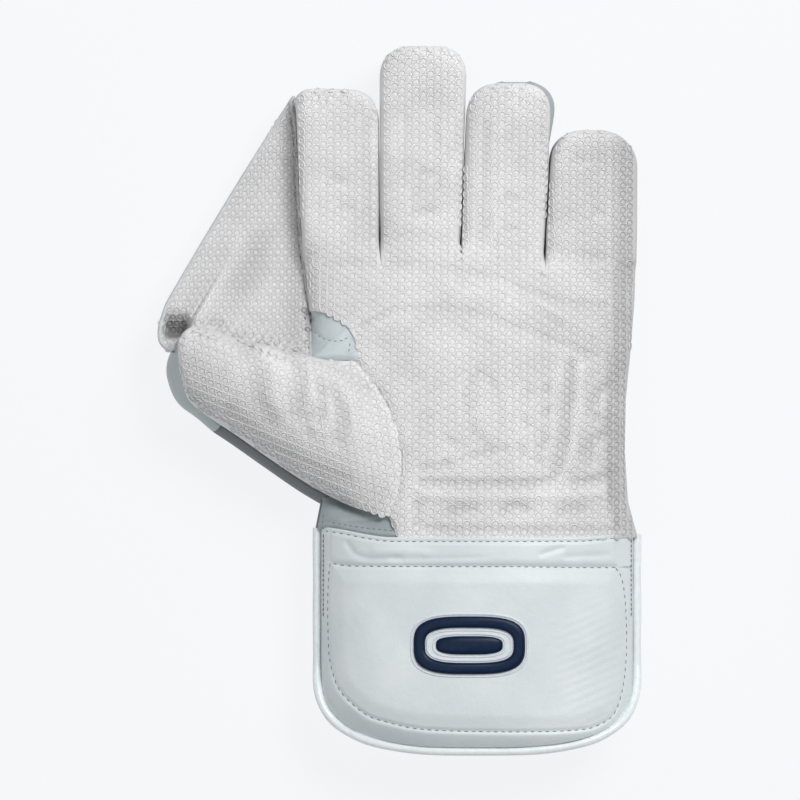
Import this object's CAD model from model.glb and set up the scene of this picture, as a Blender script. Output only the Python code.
"""A left-hand wicketkeeping glove lying on its back, palm up.

Lengths are in millimetres until a mesh is made. +Y runs to the fingertips, the thumb lies on
the -X side and +Z points up out of the palm.
"""
import logging
import math
from dataclasses import dataclass
from enum import Enum
from functools import partial
from typing import Callable, Optional, Sequence

import bpy
import numpy as np
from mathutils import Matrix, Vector
from mathutils.bvhtree import BVHTree


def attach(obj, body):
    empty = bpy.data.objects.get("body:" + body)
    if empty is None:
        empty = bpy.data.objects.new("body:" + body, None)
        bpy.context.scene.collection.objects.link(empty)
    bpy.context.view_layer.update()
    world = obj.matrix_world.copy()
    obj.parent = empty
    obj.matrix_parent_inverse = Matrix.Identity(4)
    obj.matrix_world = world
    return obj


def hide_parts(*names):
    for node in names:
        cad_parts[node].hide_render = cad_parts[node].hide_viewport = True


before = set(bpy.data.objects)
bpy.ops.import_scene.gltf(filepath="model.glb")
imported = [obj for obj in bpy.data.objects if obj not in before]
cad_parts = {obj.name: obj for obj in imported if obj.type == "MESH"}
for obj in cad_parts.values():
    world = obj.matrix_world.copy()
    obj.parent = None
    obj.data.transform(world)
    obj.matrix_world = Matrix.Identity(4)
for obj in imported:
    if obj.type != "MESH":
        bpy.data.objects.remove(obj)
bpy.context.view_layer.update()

LOG = logging.getLogger("glove")
MM = 0.001
# Points weld when they agree to 1 / WELD mm, and seating lines drop from ABOVE mm.
WELD = 400
ABOVE = 200.0
# Tone of the rubber where nothing shades it.
BASE_TONE = 0.06
Array = np.ndarray
Node = bpy.types.Node
NodeTree = bpy.types.NodeTree
Pair = tuple[float, float]
Line = tuple[Pair, ...]
Colour = tuple[float, float, float]


class Side(Enum):
    """The two faces of the hand."""

    PALM = 1
    BACK = -1


# Small maths


def lerp(a: Array, b: Array, t: Array) -> Array:
    """Straight mix of a and b: a + (b - a) * t."""
    return a + (b - a) * t


def smooth(t: Array) -> Array:
    """Smooth step from 0 to 1: 3 t^2 - 2 t^3, held outside."""
    t = np.clip(t, 0.0, 1.0)
    return t * t * (3.0 - 2.0 * t)


def bell(distance: Array, width: float) -> Array:
    """Bell curve, 1 at no distance: exp(-(distance / width)^2)."""
    return np.exp(-(distance / width) ** 2)


def powered(v: Array, p: float) -> Array:
    """Signed power: sign(v) * |v|^p."""
    return np.sign(v) * np.abs(v) ** p


def cap(f: Array, n: Array) -> Array:
    """Rounded profile, 1 in the middle and 0 at -1 and 1: (1 - |f|^n)^(1/n)."""
    return (1.0 - np.minimum(1.0, np.abs(f)) ** n) ** (1.0 / n)


def across(count: int, n: float) -> Array:
    """Places from -1 to 1, spaced evenly round a rounded profile: sin(a)^(2/n)."""
    angle = np.linspace(-np.pi / 2, np.pi / 2, count + 1)
    return powered(np.sin(angle), 2.0 / n)


def curved(column: Array, row: Array) -> Array:
    """Catmull-Rom curve through a table's column, read at row numbers with fractions.

    Args:
        column: the column's values, from its first row down.
        row: row numbers with fractions.

    Returns:
        The value at each row number.
    """
    column = np.asarray(column, float)
    padded = np.concatenate([[2 * column[0] - column[1]], column, [2 * column[-1] - column[-2]]])
    i = np.clip(np.floor(row).astype(int), 0, len(column) - 2)
    t = row - i
    a, b, c, d = padded[i], padded[i + 1], padded[i + 2], padded[i + 3]
    return b + 0.5 * t * (c - a + t * (2 * a - 5 * b + 4 * c - d + t * (3 * (b - c) + d - a)))


def ripple(x: Array, y: Array, seed: int, length: float) -> Array:
    """Soft unevenness, mostly from -1 to 1: a quarter of the sum of seven plane sine waves of
    seeded direction, phase and length.

    Args:
        x: places along X.
        y: places along Y.
        seed: seed of the waves.
        length: mean length of a wave.

    Returns:
        The unevenness at each place.
    """
    rng = np.random.default_rng(seed)
    total = np.zeros(np.broadcast(x, y).shape)
    for _ in range(7):
        angle = rng.uniform(0, 2 * np.pi)
        phase = rng.uniform(0, 2 * np.pi)
        stretch = rng.uniform(0.6, 1.7)
        k = 2 * np.pi / (length * stretch)
        total = total + np.sin(k * (x * np.cos(angle) + y * np.sin(angle)) + phase)
    return total / 4.0


def gathers(x: Array, y: Array) -> Array:
    """Slanting gathers, 4.6 from ridge to ridge along X: sin(2 pi (x - 0.8 y) / 4.6)."""
    return np.sin(2 * np.pi * (x - 0.8 * y) / 4.6)


def away(x: Array, y: Array, line: Sequence[Pair]) -> Array:
    """Distance in the plan from each point to a line of straight stretches.

    Args:
        x: places along X.
        y: places along Y.
        line: the line's corners.

    Returns:
        The distance of each point.
    """
    best = np.full(np.broadcast(x, y).shape, 1e9)
    for (ax, ay), (bx, by) in zip(line[:-1], line[1:]):
        dx, dy = bx - ax, by - ay
        t = np.clip(((x - ax) * dx + (y - ay) * dy) / max(dx * dx + dy * dy, 1e-9), 0, 1)
        best = np.minimum(best, np.hypot(x - ax - t * dx, y - ay - t * dy))
    return best


@dataclass(frozen=True)
class Fold:
    """A soft groove (depth over 0) or ridge (under 0) that follows a line in the plan."""

    line: Line
    depth: float
    width: float

    def path(self) -> list[Pair]:
        """The line, rounded by a Catmull-Rom curve where it has more than two points.

        Returns:
            Points of the line in the plan.
        """
        if len(self.line) < 3:
            return list(self.line)
        places = np.linspace(0, len(self.line) - 1, 3 * len(self.line))
        points = np.stack([curved([p[k] for p in self.line], places) for k in (0, 1)], -1)
        return [tuple(point) for point in points.tolist()]

    def drop(self, x: Array, y: Array) -> Array:
        """How far the skin sinks: depth * exp(-(distance / width)^2)."""
        return self.depth * bell(away(x, y, self.path()), self.width)


def folded(x: Array, y: Array, folds: Sequence[Fold]) -> Array:
    """The sum of the drops of several folds."""
    return sum(fold.drop(x, y) for fold in folds)


# Meshes


@dataclass
class Net:
    """A grid of outer points and the grid of inner points under it, both rows by columns by 3."""

    outer: Array
    inner: Array


@dataclass
class Skin:
    """Vertices in millimetres and faces of a closed mesh."""

    points: Array
    faces: list

    def tree(self) -> BVHTree:
        """A search tree for finding the surface under a point."""
        return BVHTree.FromPolygons(self.points.tolist(), self.faces)


def grid_quads(rows: int, columns: int, start: int) -> Array:
    """Corner numbers of a grid's quads, row by row, anticlockwise seen with rows up."""
    ids = start + np.arange(rows * columns).reshape(rows, columns)
    return np.stack([ids[:-1, :-1], ids[:-1, 1:], ids[1:, 1:], ids[1:, :-1]], -1).reshape(-1, 4)


def tube_quads(rings: int, sides: int) -> list:
    """Corner numbers of the quads between a tube's rings.

    Args:
        rings: number of rings.
        sides: corners of a ring.

    Returns:
        The quads, ring by ring.
    """
    ids = np.arange(rings * sides).reshape(rings, sides)
    nxt = np.roll(ids, -1, axis=1)
    return np.stack([ids[:-1], nxt[:-1], nxt[1:], ids[1:]], -1).reshape(-1, 4).tolist()


def shell(nets: Sequence[Net], flip: bool) -> Skin:
    """Closed skin out of nets: outer faces, inner faces turned round, and a wall on every free
    edge. Points of the outer nets that coincide are welded.

    Args:
        nets: the grids, which share points where they meet.
        flip: True where the grid's own order faces inwards.

    Returns:
        The closed skin.
    """
    quads, start = [], 0
    for net in nets:
        rows, columns = net.outer.shape[:2]
        quads.append(grid_quads(rows, columns, start))
        start += rows * columns
    outer = np.concatenate([net.outer.reshape(-1, 3) for net in nets])
    inner = np.concatenate([net.inner.reshape(-1, 3) for net in nets])
    steps = np.round(outer * WELD).astype(np.int64)
    _, first, where = np.unique(steps, axis=0, return_index=True, return_inverse=True)
    faces = where.reshape(-1)[np.concatenate(quads)]
    outer, inner = outer[first], inner[first]
    if flip:
        faces = faces[:, ::-1]
    whole = np.all(faces != np.roll(faces, 1, axis=1), axis=1)
    quad, thin = faces[whole], faces[~whole]
    keep = thin != np.roll(thin, 1, axis=1)
    thin = thin[keep.sum(1) == 3]
    tri = thin[thin != np.roll(thin, 1, axis=1)].reshape(-1, 3)
    n = len(outer)
    edges = np.concatenate([
        np.stack([quad, np.roll(quad, -1, axis=1)], -1).reshape(-1, 2),
        np.stack([tri, np.roll(tri, -1, axis=1)], -1).reshape(-1, 2),
    ])
    free = ~np.isin(edges[:, 0] * n + edges[:, 1], edges[:, 1] * n + edges[:, 0])
    a, b = edges[free, 0], edges[free, 1]
    rim = np.stack([b, a, a + n, b + n], -1)
    faces_all = np.concatenate([quad, quad[:, ::-1] + n, rim]).tolist()
    faces_all += tri.tolist() + (tri[:, ::-1] + n).tolist()
    return Skin(np.concatenate([outer, inner]), faces_all)


def swept(path: Array, radii: Array, sides: int = 12, squash: float = 1.0) -> Skin:
    """Bar along a path that never runs straight up, closed at both ends. Each ring lies square
    to the path: centre + radius * (cos a * over + squash * sin a * side).

    Args:
        path: the bar's middle line.
        radii: a radius at each point of the path.
        sides: corners of a ring.
        squash: sideways width as a share of the height.

    Returns:
        The closed skin.
    """
    tangent = np.gradient(path, axis=0)
    tangent /= np.linalg.norm(tangent, axis=1, keepdims=True)
    side = np.cross(tangent, [0.0, 0.0, 1.0])
    side /= np.linalg.norm(side, axis=1, keepdims=True)
    over = np.cross(side, tangent)
    angle = np.linspace(0, 2 * np.pi, sides, endpoint=False)
    ring = np.cos(angle)[None, :, None] * over[:, None]
    ring = ring + squash * np.sin(angle)[None, :, None] * side[:, None]
    points = path[:, None] + radii[:, None, None] * ring
    last = (len(path) - 1) * sides
    ends = [list(range(sides))[::-1], list(range(last, last + sides))]
    return Skin(points.reshape(-1, 3), tube_quads(len(path), sides) + ends)


def copied(faces: list, copies: int, size: int) -> list:
    """Faces of a pattern's copies, whose points follow one another.

    Args:
        faces: the pattern's faces, of four or three corners.
        copies: how many copies there are.
        size: how many points a copy has.

    Returns:
        The faces of all the copies.
    """
    steps = np.arange(copies)[:, None, None] * size
    groups = [np.asarray([face for face in faces if len(face) == corners]) for corners in (4, 3)]
    lists = [(group[None] + steps).reshape(-1, group.shape[1]).tolist() for group in groups if len(group)]
    return [face for one in lists for face in one]


def repeated(pattern: Skin, centres: Array, along: Array, normals: Array) -> Skin:
    """A small skin set at many places: centre + x * along + y * sideways + z * normal.

    Args:
        pattern: the small skin.
        centres: a place for each copy.
        along: the way that each copy's X points.
        normals: the way that its Z points.

    Returns:
        All the copies as one skin.
    """
    normals = normals / np.linalg.norm(normals, axis=1, keepdims=True)
    along = along - np.sum(along * normals, 1, keepdims=True) * normals
    along /= np.linalg.norm(along, axis=1, keepdims=True)
    sideways = np.cross(normals, along)
    p = pattern.points
    points = centres[:, None] + p[None, :, :1] * along[:, None] + p[None, :, 1:2] * sideways[:, None]
    points = points + p[None, :, 2:] * normals[:, None]
    return Skin(points.reshape(-1, 3), copied(pattern.faces, len(centres), len(p)))


def seated(tree: BVHTree, points: Array) -> tuple[Array, Array, Array]:
    """Where vertical lines through plan points meet a surface from above.

    Args:
        tree: the surface to search.
        points: the plan points.

    Returns:
        Positions, normals, and which points met the surface.
    """
    hits = [tree.ray_cast(Vector((x, y, ABOVE)), Vector((0, 0, -1))) for x, y in points.tolist()]
    met = np.array([hit[0] is not None for hit in hits])
    places = np.array([hit[0] if hit[0] is not None else (0, 0, 0) for hit in hits], float)
    normals = np.array([hit[1] if hit[0] is not None else (0, 0, 1) for hit in hits], float)
    return places, normals, met


def spaced(line: Array, pitch: float) -> Array:
    """Points at an even pitch along a line of straight stretches.

    Args:
        line: the line's corners.
        pitch: distance from point to point.

    Returns:
        The points, from half a pitch after the line's start.
    """
    steps = np.linalg.norm(np.diff(line, axis=0), axis=1)
    run = np.concatenate([[0], np.cumsum(steps)])
    at = np.arange(pitch / 2, run[-1], pitch)
    return np.stack([np.interp(at, run, line[:, k]) for k in range(line.shape[1])], -1)


# Finishes


def node_tree(name: str) -> tuple[bpy.types.Material, NodeTree, Node]:
    """A new material, its nodes and its Principled shader.

    Args:
        name: the material's name.

    Returns:
        The material, its nodes and its shader.
    """
    material = bpy.data.materials.new(name)
    material.use_nodes = True
    tree = material.node_tree
    return material, tree, tree.nodes["Principled BSDF"]


def add_noise(tree: NodeTree, scale: float, detail: float) -> Node:
    """Noise on Object coordinates, scale in waves per metre.

    Args:
        tree: the material's nodes.
        scale: waves per metre.
        detail: how many finer layers are added.

    Returns:
        The noise node.
    """
    place = tree.nodes.new("ShaderNodeTexCoord")
    noise = tree.nodes.new("ShaderNodeTexNoise")
    noise.inputs["Scale"].default_value = scale
    noise.inputs["Detail"].default_value = detail
    tree.links.new(place.outputs["Object"], noise.inputs["Vector"])
    return noise


def add_ramp(tree: NodeTree, source: bpy.types.NodeSocket, stops: Sequence[tuple]) -> Node:
    """Colour ramp over a value: stops are (place, colour).

    Args:
        tree: the material's nodes.
        source: the value that picks the colour.
        stops: pairs of place and colour.

    Returns:
        The ramp node.
    """
    ramp = tree.nodes.new("ShaderNodeValToRGB")
    for k, (place, colour) in enumerate(stops):
        stop = ramp.color_ramp.elements[k] if k < 2 else ramp.color_ramp.elements.new(place)
        stop.position = place
        stop.color = (*colour, 1)
    tree.links.new(source, ramp.inputs["Fac"])
    return ramp


def add_bump(tree: NodeTree, height: bpy.types.NodeSocket, distance: float, strength: float,
             before: Optional[Node] = None) -> Node:
    """Bump of a height, distance in metres, on top of an earlier bump if there is one.

    Args:
        tree: the material's nodes.
        height: the value that stands for height.
        distance: how high a value of 1 stands.
        strength: how much of the bump shows.
        before: an earlier bump, if there is one.

    Returns:
        The bump node.
    """
    bump = tree.nodes.new("ShaderNodeBump")
    bump.inputs["Distance"].default_value = distance
    bump.inputs["Strength"].default_value = strength
    tree.links.new(height, bump.inputs["Height"])
    if before:
        tree.links.new(before.outputs["Normal"], bump.inputs["Normal"])
    return bump


@dataclass(frozen=True)
class Leather:
    """Smooth dyed leather: fine pebble grain, faint mottling, soft gloss."""

    name: str
    light: Colour
    dark: Colour
    roughness: float = 0.48
    grain: float = 0.5
    mottle_scale: float = 38.0
    wave_scale: float = 260.0
    pebble_scale: float = 1500.0
    coat: float = 0.08

    def material(self) -> bpy.types.Material:
        """Mottled colour from coarse noise, grain from fine cells and noise.

        Returns:
            The material.
        """
        material, tree, shader = node_tree(self.name)
        mottle = add_noise(tree, self.mottle_scale, 5.0)
        ramp = add_ramp(tree, mottle.outputs["Fac"], [(0.34, self.dark), (0.66, self.light)])
        tree.links.new(ramp.outputs["Color"], shader.inputs["Base Color"])
        cells = tree.nodes.new("ShaderNodeTexVoronoi")
        cells.inputs["Scale"].default_value = self.pebble_scale
        place = tree.nodes.new("ShaderNodeTexCoord")
        tree.links.new(place.outputs["Object"], cells.inputs["Vector"])
        coarse = add_noise(tree, self.wave_scale, 4.0)
        first = add_bump(tree, coarse.outputs["Fac"], 0.0004, self.grain)
        second = add_bump(tree, cells.outputs["Distance"], 0.00008, self.grain, first)
        tree.links.new(second.outputs["Normal"], shader.inputs["Normal"])
        shader.inputs["Roughness"].default_value = self.roughness
        shader.inputs["Coat Weight"].default_value = self.coat
        shader.inputs["Coat Roughness"].default_value = 0.4
        return material


@dataclass(frozen=True)
class Rubber:
    """Matt pimpled rubber: slight cloudiness, and a darker tone where the mesh says so."""

    name: str
    light: Colour
    dark: Colour
    pit: Colour
    roughness: float = 0.62
    cloud_scale: float = 45.0
    fine_scale: float = 1400.0
    fine_depth: float = 0.00012

    def material(self) -> bpy.types.Material:
        """Cloudy colour mixed towards the pit colour by the attribute called tone.

        Returns:
            The material.
        """
        material, tree, shader = node_tree(self.name)
        cloud = add_noise(tree, self.cloud_scale, 6.0)
        ramp = add_ramp(tree, cloud.outputs["Fac"], [(0.32, self.dark), (0.64, self.light)])
        tone = tree.nodes.new("ShaderNodeAttribute")
        tone.attribute_name = "tone"
        mix = tree.nodes.new("ShaderNodeMix")
        mix.data_type = "RGBA"
        mix.inputs[7].default_value = (*self.pit, 1)
        tree.links.new(tone.outputs["Fac"], mix.inputs[0])
        tree.links.new(ramp.outputs["Color"], mix.inputs[6])
        tree.links.new(mix.outputs[2], shader.inputs["Base Color"])
        fine = add_noise(tree, self.fine_scale, 3.0)
        bump = add_bump(tree, fine.outputs["Fac"], self.fine_depth, 0.35)
        tree.links.new(bump.outputs["Normal"], shader.inputs["Normal"])
        shader.inputs["Roughness"].default_value = self.roughness
        shader.inputs["Specular IOR Level"].default_value = 0.35
        return material


@dataclass(frozen=True)
class Plain:
    """Thread, tape, roll or moulded rubber: one colour with fine noise in it."""

    name: str
    light: Colour
    dark: Colour
    roughness: float = 0.6
    coat: float = 0.0
    depth: float = 0.0001
    specular: float = 0.5
    scale: float = 420.0

    def material(self) -> bpy.types.Material:
        """Two close tones by noise, with a fine bump.

        Returns:
            The material.
        """
        material, tree, shader = node_tree(self.name)
        noise = add_noise(tree, self.scale, 3.0)
        ramp = add_ramp(tree, noise.outputs["Fac"], [(0.3, self.dark), (0.7, self.light)])
        tree.links.new(ramp.outputs["Color"], shader.inputs["Base Color"])
        bump = add_bump(tree, noise.outputs["Fac"], self.depth, 0.6)
        tree.links.new(bump.outputs["Normal"], shader.inputs["Normal"])
        shader.inputs["Roughness"].default_value = self.roughness
        shader.inputs["Specular IOR Level"].default_value = self.specular
        shader.inputs["Coat Weight"].default_value = self.coat
        shader.inputs["Coat Roughness"].default_value = 0.25
        return material


def srgb(r: float, g: float, b: float) -> Colour:
    """Linear colour of an 8-bit screen colour."""
    return tuple(((v / 255 + 0.055) / 1.055) ** 2.4 if v > 10 else v / 3295 for v in (r, g, b))


class Wardrobe:
    """The glove's materials, each made once."""

    def __init__(self) -> None:
        """Makes every finish."""
        pit = srgb(112, 112, 112)
        self.rubber = Rubber("pimpled rubber", srgb(240, 239, 239), srgb(227, 226, 226), pit).material()
        self.leather = Leather("pale leather", srgb(226, 232, 233), srgb(215, 223, 225)).material()
        self.back = Leather("back leather", srgb(168, 176, 178), srgb(154, 164, 166)).material()
        self.patch = Leather("patch leather", srgb(200, 209, 211), srgb(187, 198, 201), 0.55, 0.8).material()
        self.cap = Leather("cap leather", srgb(174, 184, 185), srgb(156, 167, 169), 0.45).material()
        self.heel = Leather("heel leather", srgb(162, 171, 173), srgb(148, 158, 161)).material()
        self.strip = Leather("thumb side leather", srgb(96, 104, 105), srgb(80, 88, 90), 0.55).material()
        self.piping = Plain("piping", srgb(240, 245, 246), srgb(228, 236, 238), 0.35, 0.2).material()
        self.tape = Plain("binding tape", srgb(214, 217, 217), srgb(196, 200, 201), 0.65).material()
        self.thread = Plain("grey thread", srgb(122, 132, 136), srgb(92, 102, 106), 0.7).material()
        self.dark = Plain("dark thread", srgb(84, 92, 96), srgb(52, 58, 62), 0.7).material()
        self.badge = Plain("navy badge", srgb(2, 32, 66), srgb(0, 24, 52), 0.4, 0.0, 3e-05, 0.22).material()
        self.welt = Plain("pale welt", srgb(226, 230, 236), srgb(214, 220, 228), 0.45, 0.1, 4e-05).material()


def make(name: str, skin: Skin, material: bpy.types.Material, nodes: Sequence[str] = (),
         tone: Optional[Array] = None, crease: float = 60.0) -> bpy.types.Object:
    """Puts a skin into the scene as a piece that rides on the glove.

    Args:
        name: the piece's name.
        skin: its vertices in millimetres and its faces.
        material: its finish.
        nodes: the solids that it stands for.
        tone: a value per vertex for the material's darker tone.
        crease: angle in degrees over which an edge stays sharp.

    Returns:
        The object.
    """
    mesh = bpy.data.meshes.new(name)
    mesh.from_pydata((skin.points * MM).tolist(), [], skin.faces)
    mesh.polygons.foreach_set("use_smooth", [True] * len(mesh.polygons))
    mesh.set_sharp_from_angle(angle=math.radians(crease))
    if tone is not None:
        layer = mesh.attributes.new("tone", "FLOAT", "POINT")
        layer.data.foreach_set("value", np.asarray(tone, np.float32))
    mesh.materials.append(material)
    mesh.update()
    piece = bpy.data.objects.new(name, mesh)
    bpy.context.scene.collection.objects.link(piece)
    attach(piece, "root")
    if nodes:
        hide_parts(*nodes)
    triangles = sum(len(face) - 2 for face in skin.faces)
    LOG.info("%s: %d triangles", name, triangles)
    return piece


@dataclass(frozen=True)
class Stitching:
    """Short thread stitches set along lines on a surface."""

    pitch: float = 3.3
    length: float = 1.9
    width: float = 0.55
    sunk: float = 0.05
    sides: int = 6

    def pattern(self) -> Skin:
        """One stitch: a bar whose height is width * sqrt(1 - (x / half)^2).

        Returns:
            The stitch, lying along X.
        """
        half = self.length / 2
        places = np.array([-1.0, -0.72, 0.0, 0.72, 1.0])
        swell = np.sqrt(np.maximum(0.06, 1 - places ** 2))
        angle = np.linspace(0, 2 * np.pi, self.sides, endpoint=False)
        x = np.repeat(places * half, self.sides)
        y = np.outer(swell, np.cos(angle)).ravel() * self.width / 2
        z = np.outer(swell, np.sin(angle)).ravel() * self.width / 2
        last = (len(places) - 1) * self.sides
        ends = [[0, k + 1, k] for k in range(1, self.sides - 1)]
        ends += [[last, last + k, last + k + 1] for k in range(1, self.sides - 1)]
        return Skin(np.stack([x, y, z], -1), tube_quads(len(places), self.sides) + ends)

    def along(self, tree: BVHTree, lines: Sequence[Array]) -> Skin:
        """Stitches along plan lines, each seated on the surface under it.

        Args:
            tree: the surface to search.
            lines: the plan lines.

        Returns:
            All the stitches as one skin.
        """
        centres, runs, normals = [], [], []
        for line in lines:
            line = np.asarray(line, float)
            points = spaced(line, self.pitch)
            run = np.gradient(points, axis=0)
            places, normal, met = seated(tree, points)
            centres.append((places - normal * self.sunk)[met])
            normals.append(normal[met])
            runs.append(np.concatenate([run, np.zeros((len(run), 1))], 1)[met])
        middles, along, up = (np.concatenate(part) for part in (centres, runs, normals))
        return repeated(self.pattern(), middles, along, up)


@dataclass(frozen=True)
class Pimples:
    """Low round cells with a raised rim and a soft knob, close-packed over the rubber. A cell
    follows the surface where that falls by less than fall * pitch under it.
    """

    pitch: float = 3.72
    height: float = 0.48
    sides: int = 8
    fall: float = 1.6

    def pattern(self) -> tuple[Skin, Array]:
        """One cell: rows of share of radius, share of height and tone, from the rim inwards.

        Returns:
            The cell, and the tone of each of its points.
        """
        rows = np.array([[1.04, 0.10, 0.00], [0.90, 1.00, 0.00], [0.72, 0.05, 0.46], [0.55, 0.00, 0.34],
                         [0.38, 0.60, 0.00], [0.16, 0.45, 0.11]])
        radius = self.pitch / 2
        angle = np.linspace(0, 2 * np.pi, self.sides, endpoint=False)
        x = np.outer(rows[:, 0], np.cos(angle)).ravel() * radius
        y = np.outer(rows[:, 0], np.sin(angle)).ravel() * radius
        z = np.repeat(rows[:, 1], self.sides) * self.height
        last = (len(rows) - 1) * self.sides
        centre = [[last, last + k, last + k + 1] for k in range(1, self.sides - 1)]
        faces = tube_quads(len(rows), self.sides) + centre
        return Skin(np.stack([x, y, z], -1), faces), np.repeat(rows[:, 2], self.sides)

    def lattice(self, low: Pair, high: Pair, turn: float = 0.0) -> Array:
        """Close-packed plan points over a box: columns pitch * 0.866 apart, every second one
        half a pitch up, turned by an angle in degrees about the box's middle.

        Args:
            low: the box's lower corner.
            high: its upper corner.
            turn: the angle in degrees.

        Returns:
            The points inside the box.
        """
        middle = (np.array(low) + np.array(high)) / 2
        reach = float(np.hypot(high[0] - low[0], high[1] - low[1])) / 2
        step = self.pitch * math.sqrt(3) / 2
        i, j = np.meshgrid(np.arange(-int(reach / step) - 1, int(reach / step) + 2),
                           np.arange(-int(reach / self.pitch) - 1, int(reach / self.pitch) + 2))
        x, y = i * step, (j + 0.5 * (i % 2)) * self.pitch
        a = math.radians(turn)
        turned = np.stack([x * np.cos(a) - y * np.sin(a), x * np.sin(a) + y * np.cos(a)], -1)
        points = turned.reshape(-1, 2) + middle
        inside = np.all((points >= low) & (points <= high), axis=1)
        return points[inside]

    def over(self, tree: BVHTree, points: Array, upright: float,
             shade: Callable[[Array, Array], Array]) -> tuple[Skin, Array]:
        """Cells over a surface at plan points. Every point of a cell is dropped onto the surface
        and raised along the cell's mean normal, so that the cell follows the folds. Cells that
        hang over an edge or a steep fall stay flat. The tone of a point is
        (pattern's tone) * (0.66 + 1.2 dark) * (1 - 0.6 dark) + dark.

        Args:
            tree: the surface.
            points: middles of the cells in the plan.
            upright: smallest z of the normals under a cell that is kept.
            shade: darkness by place; knobs and rings are darker where it is more than 0.

        Returns:
            All cells as one skin, and the tone of each point.
        """
        pattern, tone = self.pattern()
        count = len(pattern.points)
        plan = points[:, None] + pattern.points[None, :, :2]
        places, normals, met = seated(tree, plan.reshape(-1, 2))
        places, normals = places.reshape(-1, count, 3), normals.reshape(-1, count, 3)
        level = np.ptp(places[..., 2], axis=1) < self.fall * self.pitch
        keep = met.reshape(-1, count).all(1) & (normals[..., 2].min(1) > upright) & level
        places, up = places[keep], normals[keep].mean(1, keepdims=True)
        up /= np.linalg.norm(up, axis=2, keepdims=True)
        raised = places + up * pattern.points[None, :, 2:]
        middles, facing, seen = seated(tree, points[~keep])
        seen &= facing[:, 2] > upright
        along = np.tile([1.0, 0.0, 0.0], (int(seen.sum()), 1))
        stiff = repeated(pattern, middles[seen], along, facing[seen]).points.reshape(-1, count, 3)
        raised, places = np.concatenate([raised, stiff]), np.concatenate([places, stiff])
        middle = places.mean(1)
        dark = shade(middle[:, 0], middle[:, 1])[:, None]
        tones = np.clip(tone[None] * (0.66 + 1.2 * dark) * (1 - 0.6 * dark) + dark, 0, 1)
        return Skin(raised.reshape(-1, 3), copied(pattern.faces, len(raised), count)), tones.ravel()


# The hand


@dataclass(frozen=True)
class Finger:
    """One finger: its sides as shares of the palm's width, and its tip and the slit after it
    as shares of the hand's length. tilt raises its right side, peek shows the leather behind it,
    puckers is the height of those at its tip, and corners make the tip's left and right corner
    squarer.
    """

    name: str
    tip_left: float
    tip_right: float
    left: float
    right: float
    tip: float
    slit: float
    tilt: float
    peek: Pair
    puckers: float
    corners: Pair = (0.0, 0.0)


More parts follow.
